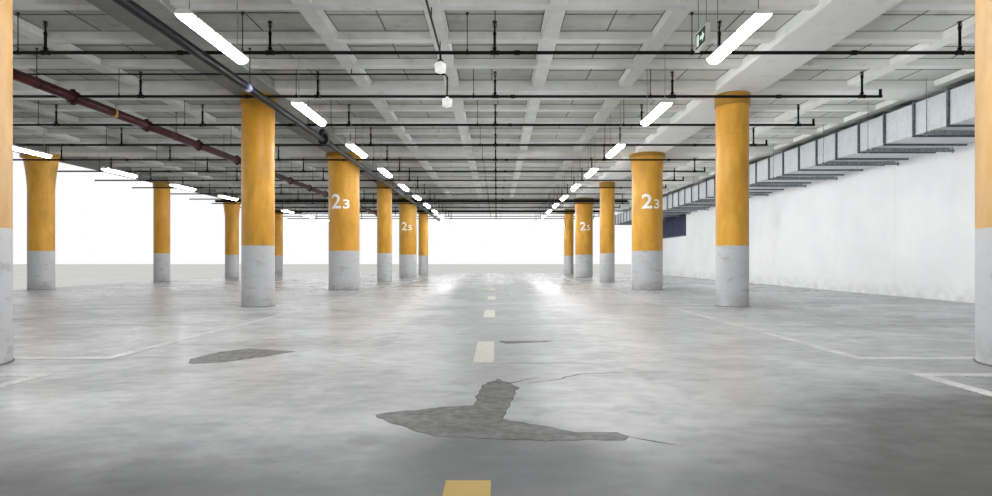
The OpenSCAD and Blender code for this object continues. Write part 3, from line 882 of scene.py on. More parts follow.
def ragged(outline: Sequence[Pair], step: float, closed: bool = True, reach: float = 0.02) -> list[Pair]:
    """Roughens a line as a broken edge is rough.

    Args:
        outline: Corners of the line.
        step: Distance between the new points.
        closed: Whether the line runs back to its start.
        reach: How far a point is moved at most.

    Returns:
        The finer line.
    """
    corners = list(outline)
    ends = corners[1:] + (corners[:1] if closed else [])
    line = []
    for (x0, y0), (x1, y1) in zip(corners, ends):
        count = max(1, round(math.hypot(x1 - x0, y1 - y0) / step))
        for i in range(count):
            x, y = x0 + (x1 - x0) * i / count, y0 + (y1 - y0) * i / count
            spot = Vector((x, y, 0.0)) / (4 * step)
            line.append((x + reach * solid_noise(spot), y + reach * solid_noise(spot + NOISE_SHIFT)))
    return line if closed else line + [corners[-1]]


def dress(material: Material, *nodes: str) -> None:
    """Gives CAD nodes their finish.

    Args:
        material: The finish.
        nodes: Names of the nodes.
    """
    for node in nodes:
        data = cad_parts[node].data
        data.materials.clear()
        data.materials.append(material)


def add_piece(mesh: Mesh, material: Material, smooth: bool = False) -> Object:
    """Makes a mesh a piece of the storey.

    Args:
        mesh: Mesh with its place in its points.
        material: Finish of the piece.
        smooth: Whether its faces are shaded smooth up to an angle.

    Returns:
        The piece, riding on the storey's body.
    """
    mesh.materials.clear()
    mesh.materials.append(material)
    piece = put(mesh.name, mesh)
    if smooth:
        mesh.shade_smooth()
        mesh.set_sharp_from_angle(angle=math.radians(SMOOTH_ANGLE))
    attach(piece, BODY)
    LOG.info("%s: %d faces", piece.name, len(mesh.polygons))
    return piece


class Repeat:
    """Geometry Nodes tree that sets a unit on every point of a mesh, turned and sized by the points."""

    def __init__(self) -> None:
        """Builds the tree."""
        tree = bpy.data.node_groups.new("unit_on_points", "GeometryNodeTree")
        for name, kind in (("Points", "Geometry"), ("Unit", "Object"), ("Finish", "Material"),
                           ("Wobble", "Float"), ("Seed", "Int")):
            tree.interface.new_socket(name, in_out="INPUT", socket_type="NodeSocket" + kind)
        tree.interface.new_socket("Mesh", in_out="OUTPUT", socket_type="NodeSocketGeometry")
        given = add_node(tree, "NodeGroupInput").outputs
        unit = add_node(tree, "GeometryNodeObjectInfo", {"Object": given["Unit"], "As Instance": True})
        turn, size = (add_node(tree, "GeometryNodeInputNamedAttribute", {"Name": name},
                               data_type="FLOAT_VECTOR").outputs["Attribute"] for name in ("turn", "size"))
        low = add_node(tree, "ShaderNodeMath", {0: given["Wobble"], 1: -1.0}, operation="MULTIPLY")
        chance = add_node(tree, "FunctionNodeRandomValue",
                          {"Min": low.outputs[0], "Max": given["Wobble"], "Seed": given["Seed"]},
                          data_type="FLOAT_VECTOR")
        total = add_node(tree, "ShaderNodeVectorMath", {0: turn, 1: chance.outputs["Value"]}, operation="ADD")
        set_out = add_node(tree, "GeometryNodeInstanceOnPoints",
                           {"Points": given["Points"], "Instance": unit.outputs["Geometry"],
                            "Rotation": total.outputs[0], "Scale": size})
        real = add_node(tree, "GeometryNodeRealizeInstances", {0: set_out.outputs[0]})
        coat = add_node(tree, "GeometryNodeSetMaterial",
                        {"Geometry": real.outputs[0], "Material": given["Finish"]})
        add_node(tree, "NodeGroupOutput", {"Mesh": coat.outputs[0]})
        self.tree = tree
        self.sockets = {item.name: item.identifier for item in tree.interface.items_tree}

    def make(self, unit: Mesh, places: Sequence[Sequence[float]], material: Material, slot: str,
             turns: Sequence[Point] = (), sizes: Sequence[Point] = (), wobble: float = 0.0,
             smooth: bool = False) -> Object:
        """Makes one piece out of many copies of a unit.

        Args:
            unit: Mesh of the unit about its own origin. Its name becomes the piece's.
            places: Where the units go.
            material: Finish of the piece.
            slot: Slot of the record whose finish it takes; not used.
            turns: Angles about X, Y and Z of each unit.
            sizes: Scale of each unit.
            wobble: Largest random turn in radians.
            smooth: Whether its faces are shaded smooth up to an angle.

        Returns:
            The piece.
        """
        carrier = bpy.data.meshes.new("points")
        carrier.from_pydata([tuple(p) for p in places], [], [])
        for name, values, plain in (("turn", turns, (0, 0, 0)), ("size", sizes, (1, 1, 1))):
            attribute = carrier.attributes.new(name, "FLOAT_VECTOR", "POINT")
            attribute.data.foreach_set("vector", [c for row in values or [plain] * len(places) for c in row])
        holder, source = put("points", carrier), put("unit", unit)
        modifier = holder.modifiers.new("repeat", "NODES")
        modifier.node_group = self.tree
        for name, value in (("Unit", source), ("Finish", material), ("Wobble", wobble), ("Seed", SEED)):
            modifier[self.sockets[name]] = value
        mesh = bpy.data.meshes.new_from_object(holder.evaluated_get(bpy.context.evaluated_depsgraph_get()))
        holder.modifiers.remove(modifier)
        for item in (holder, source):
            bpy.data.objects.remove(item)
        for name in ("turn", "size"):
            if name in mesh.attributes:
                mesh.attributes.remove(mesh.attributes[name])
        title, unit.name = unit.name, "unit"
        mesh.name = title
        return add_piece(mesh, material, smooth)


@dataclass(frozen=True)
class View:
    """The photograph's camera: level, 0.79 m above the floor, looking along the aisle."""

    place: Point = (0.02, -17.67, 1.04)
    lens: float = 20.32
    sensor: float = 36.0
    shift: Pair = (-0.0004, 0.012)
    clip: Pair = (0.05, 400.0)

    def set_up(self) -> None:
        """Makes the camera and sets it as the scene's."""
        data = bpy.data.cameras.new("photograph")
        data.lens = self.lens
        data.sensor_width = self.sensor
        data.shift_x, data.shift_y = self.shift
        data.clip_start, data.clip_end = self.clip
        camera = put("photograph", data)
        camera.location = self.place
        camera.rotation_euler = Euler((math.pi / 2, 0, 0))
        bpy.context.scene.camera = camera


@dataclass(frozen=True)
class Studio:
    """Plain pale floor and even soft light round the storey."""

    floor_half: float = 120.0
    floor_low: float = -0.102
    floor_t: float = 0.1
    day: float = 0.28
    sun: float = 1.9
    sun_spread: float = 40.0
    sun_tilt: Pair = (6.0, 36.0)
    fill: float = 250.0
    fill_at: Point = (5.0, 0.0, 2.1)
    fill_size: Pair = (1.2, 29.0)

    def add_floor(self) -> None:
        """Makes the pale floor under the storey."""
        sketch = Sketch()
        sketch.block(about(0.0, self.floor_half), about(0.0, self.floor_half),
                     (self.floor_low, self.floor_low + self.floor_t))
        ground = put("studio_floor", sketch.done("studio_floor"))
        s = Shader("studio_floor", Roughness=0.9)
        ground.data.materials.append(s.finish(
            Base_Color=s.coats("#E4E4E2", ("#DEDEDC", s.blotches(3.0), 1.0))))

    def add_world(self) -> None:
        """Makes an even daylight, and a white backdrop for what sees past the storey."""
        world = bpy.data.worlds.new("studio")
        world.use_nodes = True
        tree = world.node_tree
        tree.nodes.clear()
        path = add_node(tree, "ShaderNodeLightPath").outputs
        seen = path["Is Camera Ray"]
        for ray in ("Is Glossy Ray", "Is Transmission Ray"):
            seen = add_node(tree, "ShaderNodeMath", {0: seen, 1: path[ray]}, operation="MAXIMUM").outputs[0]
        plain = add_node(tree, "ShaderNodeBackground", {"Color": ink("#FFFFFF"), "Strength": 1.0})
        light = add_node(tree, "ShaderNodeBackground", {"Color": ink("#FDFEFF"), "Strength": self.day})
        mix = add_node(tree, "ShaderNodeMixShader", {0: seen, 1: light.outputs[0], 2: plain.outputs[0]})
        add_node(tree, "ShaderNodeOutputWorld", {"Surface": mix.outputs[0]})
        bpy.context.scene.world = world

    def add_lights(self) -> None:
        """Makes a soft lamp high over the storey and a soft box that shines at the wall."""
        sun = bpy.data.lights.new("soft_sun", "SUN")
        sun.energy = self.sun
        sun.angle = math.radians(self.sun_spread)
        put("soft_sun", sun).rotation_euler = Euler((*map(math.radians, self.sun_tilt), 0))
        box = bpy.data.lights.new("soft_box", "AREA")
        box.shape = "RECTANGLE"
        box.size, box.size_y = self.fill_size
        box.energy = self.fill
        box.color = ink("#FBFCFE")[:3]
        fill = put("soft_box", box)
        fill.location = self.fill_at
        fill.rotation_euler = Euler((0, -math.pi / 2, 0))
        fill.visible_camera = False
        fill.visible_glossy = False

    def set_up(self) -> None:
        """Makes the whole studio."""
        self.add_floor()
        self.add_world()
        self.add_lights()


@dataclass(frozen=True)
class Levels:
    """Levels and lines of the storey, read from the frame."""

    floor: float
    deck: float
    girder: float
    rows: Point
    lines: tuple[float, ...]
    near: float
    far: float
    wall: float

    @classmethod
    def read(cls) -> "Levels":
        """Reads them from the nodes' boxes.

        Returns:
            The storey's levels and lines.
        """
        slab_low, slab_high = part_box("floor_slab")
        rows = tuple(middle(name)[0] for name in ("girder_outer", "girder_left", "girder_right"))
        lines = tuple(middle(f"columns_line_{k}")[1] for k in range(1, 7))
        return cls(slab_high.z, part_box("deck_slab")[0].z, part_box("girder_left")[0].z, rows, lines,
                   slab_low.y, slab_high.y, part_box("perimeter_wall")[0].x)

    def bay_middles(self) -> list[float]:
        """Lists the middles of the bays between the columns' lines."""
        return [(first + second) / 2 for first, second in zip(self.lines, self.lines[1:])]


def middle(node: str) -> Point:
    """Gives the middle of a CAD node's box."""
    low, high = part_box(node)
    return (low.x + high.x) / 2, (low.y + high.y) / 2, (low.z + high.z) / 2


@dataclass
class Part:
    """Sub-assembly of the storey, with the levels and the repeating tree that all share."""

    levels: Levels
    repeat: Repeat


@dataclass
class Ceiling(Part):
    """Deck slab on girders, beams and ribs, with the joints of its forms, its top and its wall."""

    rib_pitch: float = 1.44
    rib_half: float = 0.125
    rib_steps: tuple[float, ...] = (-1.5, -0.5, 0.5, 1.5)
    cross_w: float = 0.145
    cross_draft: float = 0.025
    cross_ribs: int = 4
    beam_w: float = 0.6
    girder_half: float = 0.4
    joint_w: float = 0.018
    joint_h: float = 0.005
    joint_sunk: float = 0.2
    joint_at: Pair = (0.52, 0.38)
    joint_drift: Pair = (0.08, 0.1)
    edge_w: float = 0.014
    edge_in: float = 0.004
    wall_joint: float = 0.006
    saw_half: float = 0.005
    saw_edge: float = 0.05
    saw_film: Pair = (0.0008, 0.0006)
    bite: float = 0.004
    proud: float = 0.002

    def dress_nodes(self) -> None:
        """Gives slab, girders and ribs their limewash, and the wall its paint."""
        # The deck slab takes a darker limewash than the ribs: form stains, and painted shade in the coffers'
        # recesses.
        dress(LimewashedConcrete("limewashed_slab", "#B4B5AF", "#8C8D87", "#6B6C66", "#DEDFD9").build(),
              "deck_slab")
        dress(LimewashedConcrete().build(), "beams_left", "beams_aisle", "beams_right", "ribs_left",
              "ribs_aisle", "ribs_right")
        # Painted shade: the left and outer girders take a darker limewash.
        dress(LimewashedConcrete("sooty_limewash", "#8D8E8C", "#6E6F6D", "#555552").build(),
              "girder_left", "girder_outer")
        # Painted light: the right girder takes a paler limewash.
        dress(LimewashedConcrete("fresh_limewash", "#F0F1F0", "#D2D3D2", "#AEAEAA").build(), "girder_right")
        dress(WallPaint().build(), "perimeter_wall")

    def gaps_across(self) -> list[Pair]:
        """Finds the clear spans between girders and ribs, across the aisle.

        Returns:
            Both ends of each span, along X.
        """
        outer, left, right = self.levels.rows
        spans = []
        for low, high, mid in ((outer, left, (outer + left) / 2), (left, right, 0.0),
                               (right, self.levels.wall + self.girder_half, 2 * right)):
            low += self.girder_half
            high -= self.girder_half
            ribs = [mid + step * self.rib_pitch for step in self.rib_steps]
            edges = [low, *(x + s * self.rib_half for x in ribs if x + self.rib_half < high
                            for s in (-1, 1)), high]
            spans += zip(edges[0::2], edges[1::2])
        return spans

    def gaps_along(self) -> list[Pair]:
        """Finds the clear spans between beams and ribs, along the aisle.

        Returns:
            Both ends of each span, along Y.
        """
        lines = self.levels.lines
        bay = lines[1] - lines[0]
        length = (bay - self.beam_w - self.cross_ribs * self.cross_w) / (self.cross_ribs + 1)
        spans = []
        for start, c in product((lines[0] - bay, *lines), range(self.cross_ribs + 1)):
            low = start + self.beam_w / 2 + c * (length + self.cross_w) + self.cross_draft
            high = low + length - 2 * self.cross_draft
            if low > self.levels.near and high < self.levels.far:
                spans.append((low, high))
        return spans

    def add_form_joints(self) -> None:
        """Adds the fins that the form's boards left across and along every coffer, and the dark fins round
        every coffer, which are painted shadow where the deck meets the ribs.
        """
        unit = Sketch()
        unit.block(about(0.0, 0.5), about(0.0, 0.5), (-1.0, self.joint_sunk))
        places, sizes = [], []
        for (x0, x1), (y0, y1) in product(self.gaps_across(), self.gaps_along()):
            drift = solid_noise(Vector((x0, y0, 1.7)))
            seam_x, seam_y = (start + (end - start) * (at + reach * drift) for start, end, at, reach in
                              zip((x0, y0), (x1, y1), self.joint_at, self.joint_drift))
            # The fins at each coffer's edges are painted shadow lines; the others are the form's joints.
            for y, wide in ((seam_y, self.joint_w), (y0 + self.edge_in, self.edge_w),
                            (y1 - self.edge_in, self.edge_w)):
                places.append(((x0 + x1) / 2, y, self.levels.deck))
                sizes.append((x1 - x0, wide, self.joint_h))
            for x, wide in ((seam_x, self.joint_w), (x0 + self.edge_in, self.edge_w),
                            (x1 - self.edge_in, self.edge_w)):
                places.append((x, (y0 + y1) / 2, self.levels.deck))
                sizes.append((wide, y1 - y0, self.joint_h))
        finish = LimewashedConcrete("form_joint_limewash", "#6E706B", "#585A55", "#4A4B46", "#7E807A").build()
        self.repeat.make(unit.done("form_joints"), places, finish, "ceiling_concrete", sizes=sizes)

    def add_wall_joints(self) -> None:
        """Adds the sealed joints between the wall's lifts, one on both faces in the middle of every bay."""
        inside, outside = self.levels.wall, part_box("perimeter_wall")[1].x
        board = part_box("wall_board")
        sketch = Sketch()
        for mid in self.levels.bay_middles():
            faces = [(outside - self.bite, outside + self.proud)]
            if not board[0].y < mid < board[1].y:
                faces.append((inside - self.proud, inside + self.bite))
            for face in faces:
                sketch.block(face, about(mid, self.wall_joint), (self.levels.floor, self.levels.girder), MM)
        finish = LimewashedConcrete("wall_joint_sealant", "#C9C8CB", "#B4B3B6", "#99979A").build()
        add_piece(sketch.done("wall_joints"), finish)

    def add_deck_joints(self) -> None:
        """Adds the sawn and sealed joints in the deck's top, over the rows and the middles of the bays."""
        low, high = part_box("deck_slab")
        sketch = Sketch()
        for mid in self.levels.bay_middles():
            sketch.block((low.x + self.saw_edge, high.x - self.saw_edge), about(mid, self.saw_half),
                         (high.z - self.bite, high.z + self.saw_film[0]))
        for x in self.levels.rows:
            sketch.block(about(x, self.saw_half), (low.y + self.saw_edge, high.y - self.saw_edge),
                         (high.z - self.bite, high.z + self.saw_film[1]))
        finish = BareScreed("deck_joint_sealant", "#5A5A57", "#484845", "#6C6C68").build()
        add_piece(sketch.done("deck_joints"), finish)

    def build(self) -> None:
        """Adds the ceiling's, the deck's and the wall's pieces."""
        self.add_form_joints()
        self.add_wall_joints()
        self.add_deck_joints()


@dataclass
class Columns(Part):
    """Round columns in three rows, with the seams of their forms, their sealant and their numbers."""

    foot_h: float = 1.03
    thick_band: float = 0.11
    thin_band: float = 0.2
    thin_seam: float = 2.9
    thick_seam: float = 2.97
    outer_seam: float = 2.57
    seam_half: float = 0.003
    seam_out: float = 0.0016
    bite: float = 0.004
    bead: float = 0.012
    bead_lip: float = 0.45
    number_mid: float = 2.32
    number_top: float = 0.19
    big: Pair = (0.27, 0.38)
    small: Pair = (0.17, 0.24)
    number_gap: float = 0.05
    paint_in: float = 0.003
    paint_t: float = 0.0045
    zone: str = "2"
    bold: float = 0.018
    strips: int = 20

    def dress_nodes(self) -> None:
        """Gives the columns their paint, a paler one on the first line as painted highlight."""
        foot = self.levels.floor + self.foot_h
        # Heights of the painted shade band under the girder.
        thick_z, thin_z = self.levels.girder - self.thick_band, self.levels.girder - self.thin_band
        dress(ColumnPaint("column_paint_thick", foot, thick_z).build(), "columns_line_3", "columns_line_5")
        dress(ColumnPaint("column_paint_thin", foot, thin_z).build(),
              "columns_line_2", "columns_line_4", "columns_line_6")
        # Painted highlight: the first line takes a paler copy of the ochre.
        dress(ColumnPaint("column_paint_first", foot, thick_z, "#CA9A4E", "#D6B180", "#A27E3E").build(),
              "columns_line_1")

    def shafts(self) -> list[tuple[int, int, Solid]]:
        """Lists every column with its line from 1 and its row from 0."""
        return [(k, row, solid) for k in range(1, 7)
                for row, solid in enumerate(solids_of(f"columns_line_{k}"))]

    def add_rings(self) -> None:
        """Adds the seam between two lifts of the form and the bead of sealant at the foot of every shaft."""
        seams, beads = Sketch(), Sketch()
        for k, row, shaft in self.shafts():
            height = self.thin_seam if k % 2 == 0 else self.thick_seam if row else self.outer_seam
            x, y, inner = shaft.mid.x, shaft.mid.y, shaft.foot - self.bite
            seams.band(shaft.foot + self.seam_out, inner, about(0.0, self.seam_half),
                       Vector((x, y, self.levels.floor + height)), MM)
            beads.band(shaft.foot + self.bead, inner, (-MM, self.bead), Vector((x, y, self.levels.floor)),
                       self.bead * self.bead_lip)
        add_piece(seams.done("column_seams"),
                  RoadPaint("seam_ochre_paint", "#BE8A2A", "#AF7D24", "#8C6A34", 0.6).build(),
                  True)
        add_piece(beads.done("column_beads"), Moulding("grey_sealant", "#7B7B79", "#666664", 0.6).build(),
                  True)

    def figure(self, text: str) -> Mesh:
        """Makes a figure that fills a box of 1 m each way, cut into upright strips so that it bends.

        Args:
            text: The figure.

        Returns:
            Its mesh.
        """
        curve = bpy.data.curves.new("figure", "FONT")
        curve.body = text
        curve.extrude = 0.5
        curve.offset = self.bold
        holder = put("figure", curve)
        flat = bpy.data.meshes.new_from_object(holder.evaluated_get(bpy.context.evaluated_depsgraph_get()))
        bpy.data.objects.remove(holder)
        made = bmesh.new()
        made.from_mesh(flat)
        bmesh.ops.remove_doubles(made, verts=made.verts, dist=1e-5)
        low, high = (Vector([ends(v.co[i] for v in made.verts) for i in range(3)]) for ends in (min, max))
        for vert in made.verts:
            vert.co = Vector([(vert.co[i] - low[i]) / (high[i] - low[i]) for i in range(3)])
        for i in range(1, self.strips):
            bmesh.ops.bisect_plane(made, geom=[*made.verts, *made.edges, *made.faces],
                                   plane_co=(i / self.strips, 0, 0), plane_no=(1, 0, 0))
        made.to_mesh(flat)
        made.free()
        return flat

    def add_numbers(self) -> None:
        """Adds the zone's number and the line's, painted through a stencil on the thick columns."""
        sketch = Sketch()
        base = self.levels.floor + self.number_mid - self.number_top
        for k, row, shaft in self.shafts():
            if k % 2 == 0 or row == 0:
                continue
            left = -(self.big[0] + self.small[0] + self.number_gap) / 2
            for text, (width, height) in ((self.zone, self.big), (str(k), self.small)):
                flat = self.figure(text)
                for vert in flat.vertices:
                    along, up, out = vert.co
                    angle = (left + along * width) / shaft.foot
                    radius = shaft.foot - self.paint_in + self.paint_t * out
                    vert.co = (shaft.mid.x + radius * math.sin(angle),
                               shaft.mid.y - radius * math.cos(angle), base + up * height)
                sketch.mesh.from_mesh(flat)
                bpy.data.meshes.remove(flat)
                left += width + self.number_gap
        finish = RoadPaint("stencil_white_paint", "#FFFFFF", "#F6F1E6", "#E4C489", 0.66).build()
        add_piece(sketch.done("column_numbers"), finish)

    def build(self) -> None:
        """Adds the columns' pieces."""
        self.add_rings()
        self.add_numbers()


@dataclass
class Ground(Part):
    """Trowelled floor slab with its markings, worn patches, cracks and sawn joints."""

    film: float = 0.0008
    crack_film: float = 0.0006
    rim_rise: float = 0.0003
    sunk: float = 0.002
    crack_w: float = 0.016
    joint_w: float = 0.006
    joint_x: float = -2.95
    joint_step: float = 0.1
    joint_points: int = 58
    patch_step: float = 0.018
    crack_step: float = 0.02
    rim_widths: Point = (0.007, 0.005, 0.004)
    patch: Outline = (
        (-0.606, -14.812), (-0.327, -14.695), (-0.094, -14.619), (-0.09, -14.434), (-0.066, -14.148),
        (0.028, -13.955), (0.154, -14.198), (0.111, -14.476), (0.075, -14.713), (0.044, -14.902),
        (0.254, -15.014), (0.372, -15.108), (0.567, -15.108), (0.615, -15.171), (0.577, -15.214),
        (0.358, -15.214), (0.235, -15.227), (-0.256, -15.162), (-0.351, -15.081), (-0.493, -14.964))
    smear: Outline = (
        (0.04, -12.2), (0.25, -12.22), (0.56, -12.2), (0.48, -12.29), (0.26, -12.34), (0.1, -12.4))
    side_patch: Outline = (
        (-2.35, -12.86), (-2.18, -12.68), (-1.92, -12.78), (-1.72, -12.84), (-1.88, -13.1),
        (-2.08, -13.33), (-2.3, -13.42), (-2.42, -13.2))
    cracks: tuple[Outline, ...] = (
        ((0.055, -12.23), (0.22, -12.27), (0.4, -12.24), (0.555, -12.28)),
        ((0.124, -13.379), (0.33, -13.4), (0.55, -13.37), (0.761, -13.42)),
        ((0.22, -14.08), (0.4, -13.98), (0.606, -13.793), (0.78, -13.76), (0.955, -13.723)),
        ((-0.08, -14.42), (0.01, -14.24), (0.13, -14.06), (0.3, -13.9)),
        ((0.62, -15.17), (0.7, -15.24), (0.79, -15.27)))

    def dress_nodes(self) -> None:
        """Gives the slab its sealer and the markings their paint."""
        dress(TrowelledFloor().build(), "floor_slab")
        dress(RoadPaint("white_road_paint", "#D4D5D3", "#B4B5B3").build(), "parking_lines")
        # Past the first bay the yellow dashes turn cream, a painted glare.
        dress(RoadPaint("yellow_road_paint", "#C3A65F", "#B3985A", "#9C937C", 0.6, 0.28, "#DEDACF").build(),
              "lane_dashes")

    def add_patches(self) -> None:
        """Adds the places where the sealer has come off, each with the dark rim of its broken edge."""
        low, top = self.levels.floor - self.sunk, self.levels.floor + self.film
        patches, rims = Sketch(), Sketch()
        for outline, width in zip((self.patch, self.side_patch, self.smear), self.rim_widths):
            line = ragged(outline, self.patch_step)
            patches.prism(line, top - low, Matrix.Translation((0, 0, low)))
            rims.ribbon(line, width, (low, top + self.rim_rise), True)
        add_piece(patches.done("worn_patches"), BareScreed().build())
        add_piece(rims.done("worn_patch_rims"),
                  BareScreed("broken_sealer_edge", "#4C4B49", "#383735", "#6A6967").build())

    def add_cracks(self) -> None:
        """Adds the fine cracks round the patches and the joint sawn across the middle of every bay."""
        sketch = Sketch()
        level = (self.levels.floor - self.sunk, self.levels.floor + self.crack_film)
        for crack in self.cracks:
            sketch.ribbon(ragged(crack, self.crack_step, False), self.crack_w, level)
        for y in self.levels.bay_middles():
            line = [(self.joint_x + self.joint_step * i, y + MM * (i % 2)) for i in range(self.joint_points)]
            sketch.ribbon(line, self.joint_w, level)
        add_piece(sketch.done("floor_cracks"),
                  BareScreed("open_crack", "#3E3D3B", "#2B2A29", "#5A5957").build())

    def build(self) -> None:
        """Adds the floor's pieces."""
        self.add_patches()
        self.add_cracks()


@dataclass
class AirDuct(Part):
    """Zinc sheet duct on channels, with creased panels, bolted flanges and lock seams."""

    sheet: float = 0.003
    rise: float = 0.009
    rim: float = 0.0006
    margin: float = 0.03
    drift_scale: float = 3.1
    rise_drift: float = 0.5
    tip_drift: Pair = (0.06, 0.05)
    edge: float = 0.012
    bolt: Bolt = Bolt(0.008, 0.004, 0.021, 0.009)
    bolt_places: tuple[float, ...] = (0.03, 0.27, 0.5, 0.73, 0.97)
    seam_w: float = 0.022
    seam_t: float = 0.004
    washer: Pair = (0.019, 0.004)
    nut_r: float = 0.014
    nut_low: float = -0.015
    rod_r: float = 0.006
    rod_low: float = -0.028

    def dress_nodes(self) -> None:
        """Gives the duct its zinc."""
        self.zinc = ZincSheet().build()
        self.plated = PlatedSteel("zinc_plated_rod").build()
        dress(self.zinc, "duct_flat_sheets", "duct_side_sheets")
        dress(PlatedSteel("dull_zinc_flange", "#6F797F", "#515B61", 0.5).build(), "duct_flanges")
        dress(self.plated, "duct_struts", "duct_rods")

    def sections(self) -> list[Pair]:
        """Lists the clear lengths of duct between the flanges."""
        flanges = solids_of("duct_flanges")
        return [(a.high.y + self.edge, b.low.y - self.edge) for a, b in zip(flanges, flanges[1:])]

    def add_panels(self) -> None:
        """Adds the creased panel faces, a low pyramid on each side of each length of duct."""
        low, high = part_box("duct_side_sheets")
        flat_low, flat_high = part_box("duct_flat_sheets")
        sketch = Sketch()
        for y0, y1 in self.sections():
            for x, out in ((low.x, -1.0), (high.x, 1.0)):
                self.pyramid(sketch, Vector((x, y0, flat_low.z + self.margin)),
                             Vector((x, y1, flat_high.z - self.margin)), Vector((out, 0, 0)))
            for z, out in ((flat_low.z, -1.0), (flat_high.z, 1.0)):
                self.pyramid(sketch, Vector((low.x + self.margin, y0, z)),
                             Vector((high.x - self.margin, y1, z)), Vector((0, 0, out)))
        add_piece(sketch.done("duct_panels"), self.zinc)

    def pyramid(self, sketch: Sketch, low: Vector, high: Vector, out: Vector) -> None:
        """Adds one creased panel that stands out of its sheet by a few millimetres.

        Args:
            sketch: Mesh that gets it.
            low: One corner of the panel.
            high: The corner across from it.
            out: Way that the panel looks.
        """
        first, second = (i for i in range(3) if not out[i])
        corners = []
        for a, b in ((low, low), (high, low), (high, high), (low, high)):
            corner = low.copy()
            corner[first], corner[second] = a[first], b[second]
            corners.append(corner)
        mid = (low + high) / 2
        spot = solid_noise(mid * self.drift_scale)
        along, across = self.tip_drift
        tip = mid + out * self.rise * (1 + self.rise_drift * spot) + Vector(
            (0.0, along * spot, 0.0)) + out.cross(Vector((0, 1, 0))) * across * spot
        base = sketch.loop(c - out * self.sheet / 2 for c in corners)
        rim = sketch.loop(c + out * self.rim for c in corners)
        top = sketch.mesh.verts.new(tip)
        sketch.mesh.faces.new(base)
        sketch.bridge(base, rim)
        for i in range(4):
            sketch.mesh.faces.new((rim[i], rim[(i + 1) % 4], top))

    def add_bolts(self) -> None:
        """Adds the bolts that clamp the flanges, at their corners and along their sides."""
        unit = Sketch()
        unit.lathe(self.bolt.profile(), 6, Lie.ALONG.place)
        places = []
        for flange in solids_of("duct_flanges"):
            x0, x1 = flange.low.x + self.edge, flange.high.x - self.edge
            z0, z1 = flange.low.z + self.edge, flange.high.z - self.edge
            for t in self.bolt_places:
                places += [(x, flange.mid.y, z0 + (z1 - z0) * t) for x in (x0, x1)]
                places += [(x0 + (x1 - x0) * t, flange.mid.y, z) for z in (z0, z1)]
        self.repeat.make(unit.done("duct_flange_bolts"), places, self.plated, "zinc_steel")

    def add_lock_seams(self) -> None:
        """Adds the folded lock seams along the duct's four corners."""
        low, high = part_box("duct_flat_sheets")
        sketch = Sketch()
        for (y0, y1), z in product(self.sections(), (low.z, high.z - self.seam_w)):
            for x in ((low.x - self.seam_t, low.x + MM), (high.x - MM, high.x + self.seam_t)):
                sketch.block(x, (y0 - self.edge, y1 + self.edge), (z, z + self.seam_w), MM)
        add_piece(sketch.done("duct_lock_seams"), self.zinc)

    def add_rod_nuts(self) -> None:
        """Adds the nut, the square washer and the rod's end under the channel at every rod."""
        half, thick = self.washer
        unit = Sketch()
        unit.block((-half, half), (-half, half), (-thick, 0.0))
        unit.nut(self.nut_r, self.nut_low, -thick)
        unit.lathe([(self.rod_r, self.rod_low), (self.rod_r, self.nut_low)], 10)
        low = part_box("duct_struts")[0].z
        places = [(rod.mid.x, rod.mid.y, low) for rod in solids_of("duct_rods")]
        self.repeat.make(unit.done("duct_rod_nuts"), places, self.plated, "zinc_steel", wobble=0.02)

    def build(self) -> None:
        """Adds the duct's pieces."""
        self.add_panels()
        self.add_bolts()
        self.add_lock_seams()
        self.add_rod_nuts()


